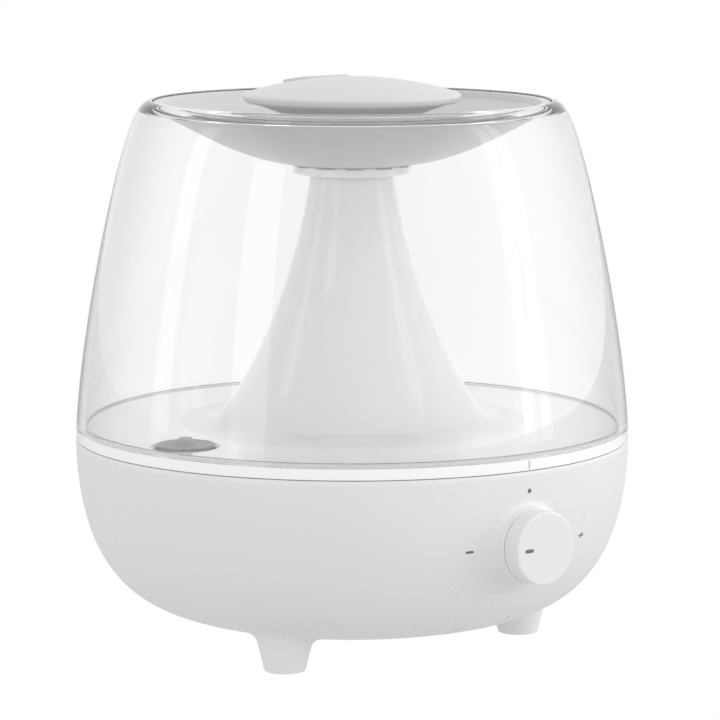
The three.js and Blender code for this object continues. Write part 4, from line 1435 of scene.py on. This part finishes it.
# ---------------------------------------------------------------- nozzle
@dataclass
class Nozzle:
    """The domed mist nozzle with its outlet towards the back, and the cone that holds it in the lid."""

    shop: FinishShop
    apex: float = 246.5
    curve: float = 0.00325
    turn_radius: float = 44.0
    lip: float = 47.1
    wall: float = 2.0
    outlet_y: float = 25.0
    outlet_half: float = 17.0
    outlet_width: float = 6.5
    outlet_rim: float = 1.2
    neck: float = 19.1

    def crown(self, inset: float, steps: int = 40) -> np.ndarray:
        """The dome's top from the axis outwards: height falls with the square of the radius."""
        r = np.linspace(0, self.turn_radius - inset, steps)
        return np.stack([r, self.apex - inset - self.curve * r * r], axis=1)

    def shell(self) -> Shape:
        """The dome: crown, rolled lip and underside, with the outlet cut through."""
        crown = self.crown(0.0)
        edge = bezier(crown[-1], (46.2, 239.6), (self.lip + 0.3, 239.2), (self.lip, 237.9), 14)
        roll = bezier(edge[-1], (self.lip - 0.2, 236.5), (46.4, 235.6), (44.6, 235.5), 12)
        inside = self.crown(self.wall)[::-1]
        corners = np.concatenate([crown, edge[1:], roll[1:], [[42.6, 235.6], [42.3, 236.4]], inside])
        opening = self.slot(1.6, 230, 255)
        return carve(turned(corners, 224), opening)

    def slot(self, inset: float, bottom: float, top: float) -> Shape:
        """A block of the outlet's outline, smaller all round by an inset."""
        block = slot_block(self.outlet_half - inset, self.outlet_width - inset, bottom, top)
        return block.moved(0, self.outlet_y)

    def outlet(self) -> Shape:
        """The raised rim round the outlet: a rounded section carried round the slot, lying on the crown."""
        angles = round_angles(160)
        straight = self.outlet_half - self.outlet_width
        middle_r = self.outlet_width - 0.8
        side = np.stack([np.cos(angles), np.sin(angles), np.zeros_like(angles)], axis=1)
        path = side * middle_r
        path[:, 0] += np.sign(side[:, 0]) * straight
        path[:, 1] += self.outlet_y
        path[:, 2] = self.apex - self.curve * (path[:, 0] ** 2 + path[:, 1] ** 2)
        up = np.tile([0, 0, 1.0], (len(angles), 1))
        bottom, top = 0.2 - self.wall, self.outlet_rim
        section = rounded([(-0.8, bottom, 0.2), (0.8, bottom, 0.2), (0.8, top, 0.45), (-0.8, top, 0.45)])
        return carried(section, path, side, up, loop=True)

    def build(self) -> None:
        """Makes the dome with its outlet, and the cone below it."""
        dome = joined(self.shell(), self.outlet())
        self.shop.piece("dome", dome, "painted_shade_lid_white", Body.NOZZLE, "nozzle_dome")
        neck = self.neck
        cone = rounded(
            [(41.6, 234.9, 0.4), (41.9, 236.6, 0.4), (40.4, 236.6, 0.3), (31, 233.2, 6), (neck + 2, 231.4, 1),
             (neck, 231.4, 0.4), (neck, 222, 0.4), (neck + 2, 222, 0.4), (neck + 2, 228.6, 1), (31, 231.0, 6)]
        )
        self.shop.piece("dome_cone", turned(cone, 224), "painted_shade_lid_white", Body.NOZZLE, "nozzle_base")


# ---------------------------------------------------------------- studio
@dataclass
class Studio:
    """The floor, the light and the camera."""

    azimuth: float = -37.5
    elevation: float = 8.03
    distance: float = 1626.4
    lens: float = 186.35
    target_right: float = 3.417
    target_height: float = 122.9
    floor_light: float = 0.7
    floor_reach: float = 4000.0
    floor_height: float = -0.3
    pane: tuple[float, float] = (165, 290)
    pane_turn: float = 4.2
    pane_step: float = 330.0
    lowest_pane: float = 180.0

    def directions(self) -> tuple[np.ndarray, np.ndarray]:
        """The level directions to the right of the view and away from the camera."""
        turn = math.radians(-self.azimuth)
        right = np.array([math.cos(turn), -math.sin(turn), 0])
        away = np.array([math.sin(turn), math.cos(turn), 0])
        return right, away

    def camera(self) -> None:
        """Places the camera on its line of sight through the target."""
        right, away = self.directions()
        lean = math.radians(self.elevation)
        target = np.array([AXIS_X, AXIS_Y, self.target_height]) + right * self.target_right
        looking = away * math.cos(lean) - np.array([0, 0, math.sin(lean)])
        data = bpy.data.cameras.new("studio_camera")
        data.lens = self.lens
        data.sensor_width = 36.0
        data.clip_start, data.clip_end = 0.1, 100.0
        camera = bpy.data.objects.new("studio_camera", data)
        bpy.context.scene.collection.objects.link(camera)
        camera.location = Vector((target - looking * self.distance) * MM)
        camera.rotation_euler = Vector(looking).to_track_quat("-Z", "Y").to_euler()
        bpy.context.scene.camera = camera

    def seen_straight(self, tree: bpy.types.NodeTree) -> bpy.types.NodeSocket:
        """Tells what the camera sees directly or through the clear tank from what lights the object.

        Args:
            tree: the tree that gets the nodes.

        Returns:
            A socket that is 1 for what is seen and 0 for what lights.
        """
        path = add(tree, "LightPath").outputs
        matt = calc(tree, "LESS_THAN", path["Diffuse Depth"], 0.5)
        through = calc(tree, "MULTIPLY", matt, calc(tree, "MINIMUM", path["Transmission Depth"], 1.0))
        return calc(tree, "MAXIMUM", path["Is Camera Ray"], through)

    def towards(
        self, tree: bpy.types.NodeTree, sight: bpy.types.NodeSocket, way: np.ndarray
    ) -> bpy.types.NodeSocket:
        """How far a line of sight points along a direction, from -1 to 1."""
        return add(tree, "VectorMath", {"operation": "DOT_PRODUCT"}, _0=sight, _1=tuple(way)).outputs["Value"]

    def world(self) -> None:
        """White to the eye and through the tank. As light, it is dimmer above and brightest on the right."""
        world = bpy.data.worlds.new("studio_air")
        bpy.context.scene.world = world
        world.use_nodes = True
        tree = world.node_tree
        tree.nodes.clear()
        right, away = self.directions()
        sight = add(tree, "TexCoord").outputs["Generated"]
        up = add(tree, "SeparateXYZ", Vector=sight).outputs["Z"]
        level = ramp(tree, up, (0.0, 0.8), (0.98, 0.86), "SMOOTHSTEP")
        side = ramp(tree, self.towards(tree, sight, right), (0.35, 1.0), (0.0, 0.95), "SMOOTHSTEP")
        back = ramp(tree, self.towards(tree, sight, away), (-1.0, 1.0), (1.07, 1.03))
        total = calc(tree, "ADD", calc(tree, "MULTIPLY", level, back), side)
        seen = self.seen_straight(tree)
        strength = add(tree, "Mix", {"data_type": "FLOAT"}, _0=seen, _2=total, _3=1.0)
        air = add(tree, "Background", Color=(1, 1, 1, 1), Strength=strength.outputs[0])
        add(tree, "OutputWorld", Surface=air.outputs[0])

    def floor(self) -> None:
        """The pale floor, which shows plain white and lights the underside softly."""
        material, tree, _ = new_material("studio_floor")
        seen = self.seen_straight(tree)
        strength = add(tree, "Mix", {"data_type": "FLOAT"}, _0=seen, _2=self.floor_light, _3=1.0)
        glow = add(tree, "Emission", Color=(1, 1, 1, 1), Strength=strength.outputs[0])
        add(tree, "OutputMaterial", Surface=glow.outputs[0])
        signs = np.array([(-1, -1), (1, -1), (1, 1), (-1, 1)])
        corners = np.column_stack([signs * self.floor_reach, np.full(4, self.floor_height)])
        sheet = plain_object("studio_floor", Shape(corners * MM, [[0, 1, 2, 3]]))
        sheet.data.materials.append(material)

    def lamp(
        self, name: str, turn: float, height: float, distance: float, size: tuple[float, float],
        radiance: float,
    ) -> None:
        """A rectangular soft box that looks at the middle of the object.

        Args:
            name: the lamp's name.
            turn: its direction in degrees from straight ahead of the camera's far side, to the right.
            height: the height of its middle.
            distance: how far it is from the vessel's axis.
            size: its width and height.
            radiance: how bright its face is.
        """
        right, away = self.directions()
        angle = math.radians(turn)
        place = (right * math.sin(angle) + away * math.cos(angle)) * distance
        data = bpy.data.lights.new(name, "AREA")
        data.shape = "RECTANGLE"
        data.size, data.size_y = size[0] * MM, size[1] * MM
        data.energy = radiance * math.pi * data.size * data.size_y
        lamp = bpy.data.objects.new(name, data)
        bpy.context.scene.collection.objects.link(lamp)
        place = place + np.array([AXIS_X, AXIS_Y, height])
        lamp.location = Vector(place * MM)
        aim = np.array([AXIS_X, AXIS_Y, self.target_height]) - place
        lamp.rotation_euler = Vector(aim).to_track_quat("-Z", "Y").to_euler()

    def window(self, turn: float, distance: float) -> None:
        """A paned window of eight lamps, two across and four up, which shows in glossy surfaces.

        Args:
            turn: the direction of its middle, as a lamp's.
            distance: how far it is from the vessel's axis.
        """
        for column in (0, 1):
            for row in range(4):
                aside = turn + (2 * column - 1) * self.pane_turn
                height = self.lowest_pane + row * self.pane_step
                self.lamp(f"pane_{row}_{column}", aside, height, distance, self.pane, 1.0)

    def build(self) -> None:
        """Sets up the whole studio."""
        bpy.context.scene.view_settings.view_transform = "Standard"
        self.camera()
        self.world()
        self.floor()
        self.window(100, 1400)
        self.lamp("left_box", -138, 420, 1500, (420, 900), 0.8)
        self.lamp("left_strip", -96, 520, 1500, (260, 1300), 0.75)


def main() -> None:
    """Builds the studio and every sub-assembly in order, and dresses the CAD nodes that still show."""
    logging.basicConfig(level=logging.INFO, format="%(message)s")
    Studio().build()
    shop = FinishShop(Finishes())
    for assembly in (Base(shop), Basin(shop), Knob(shop), Tank(shop), Lid(shop), Nozzle(shop)):
        assembly.build()
    shop.dress_cad()


if __name__ == "__main__":
    main()
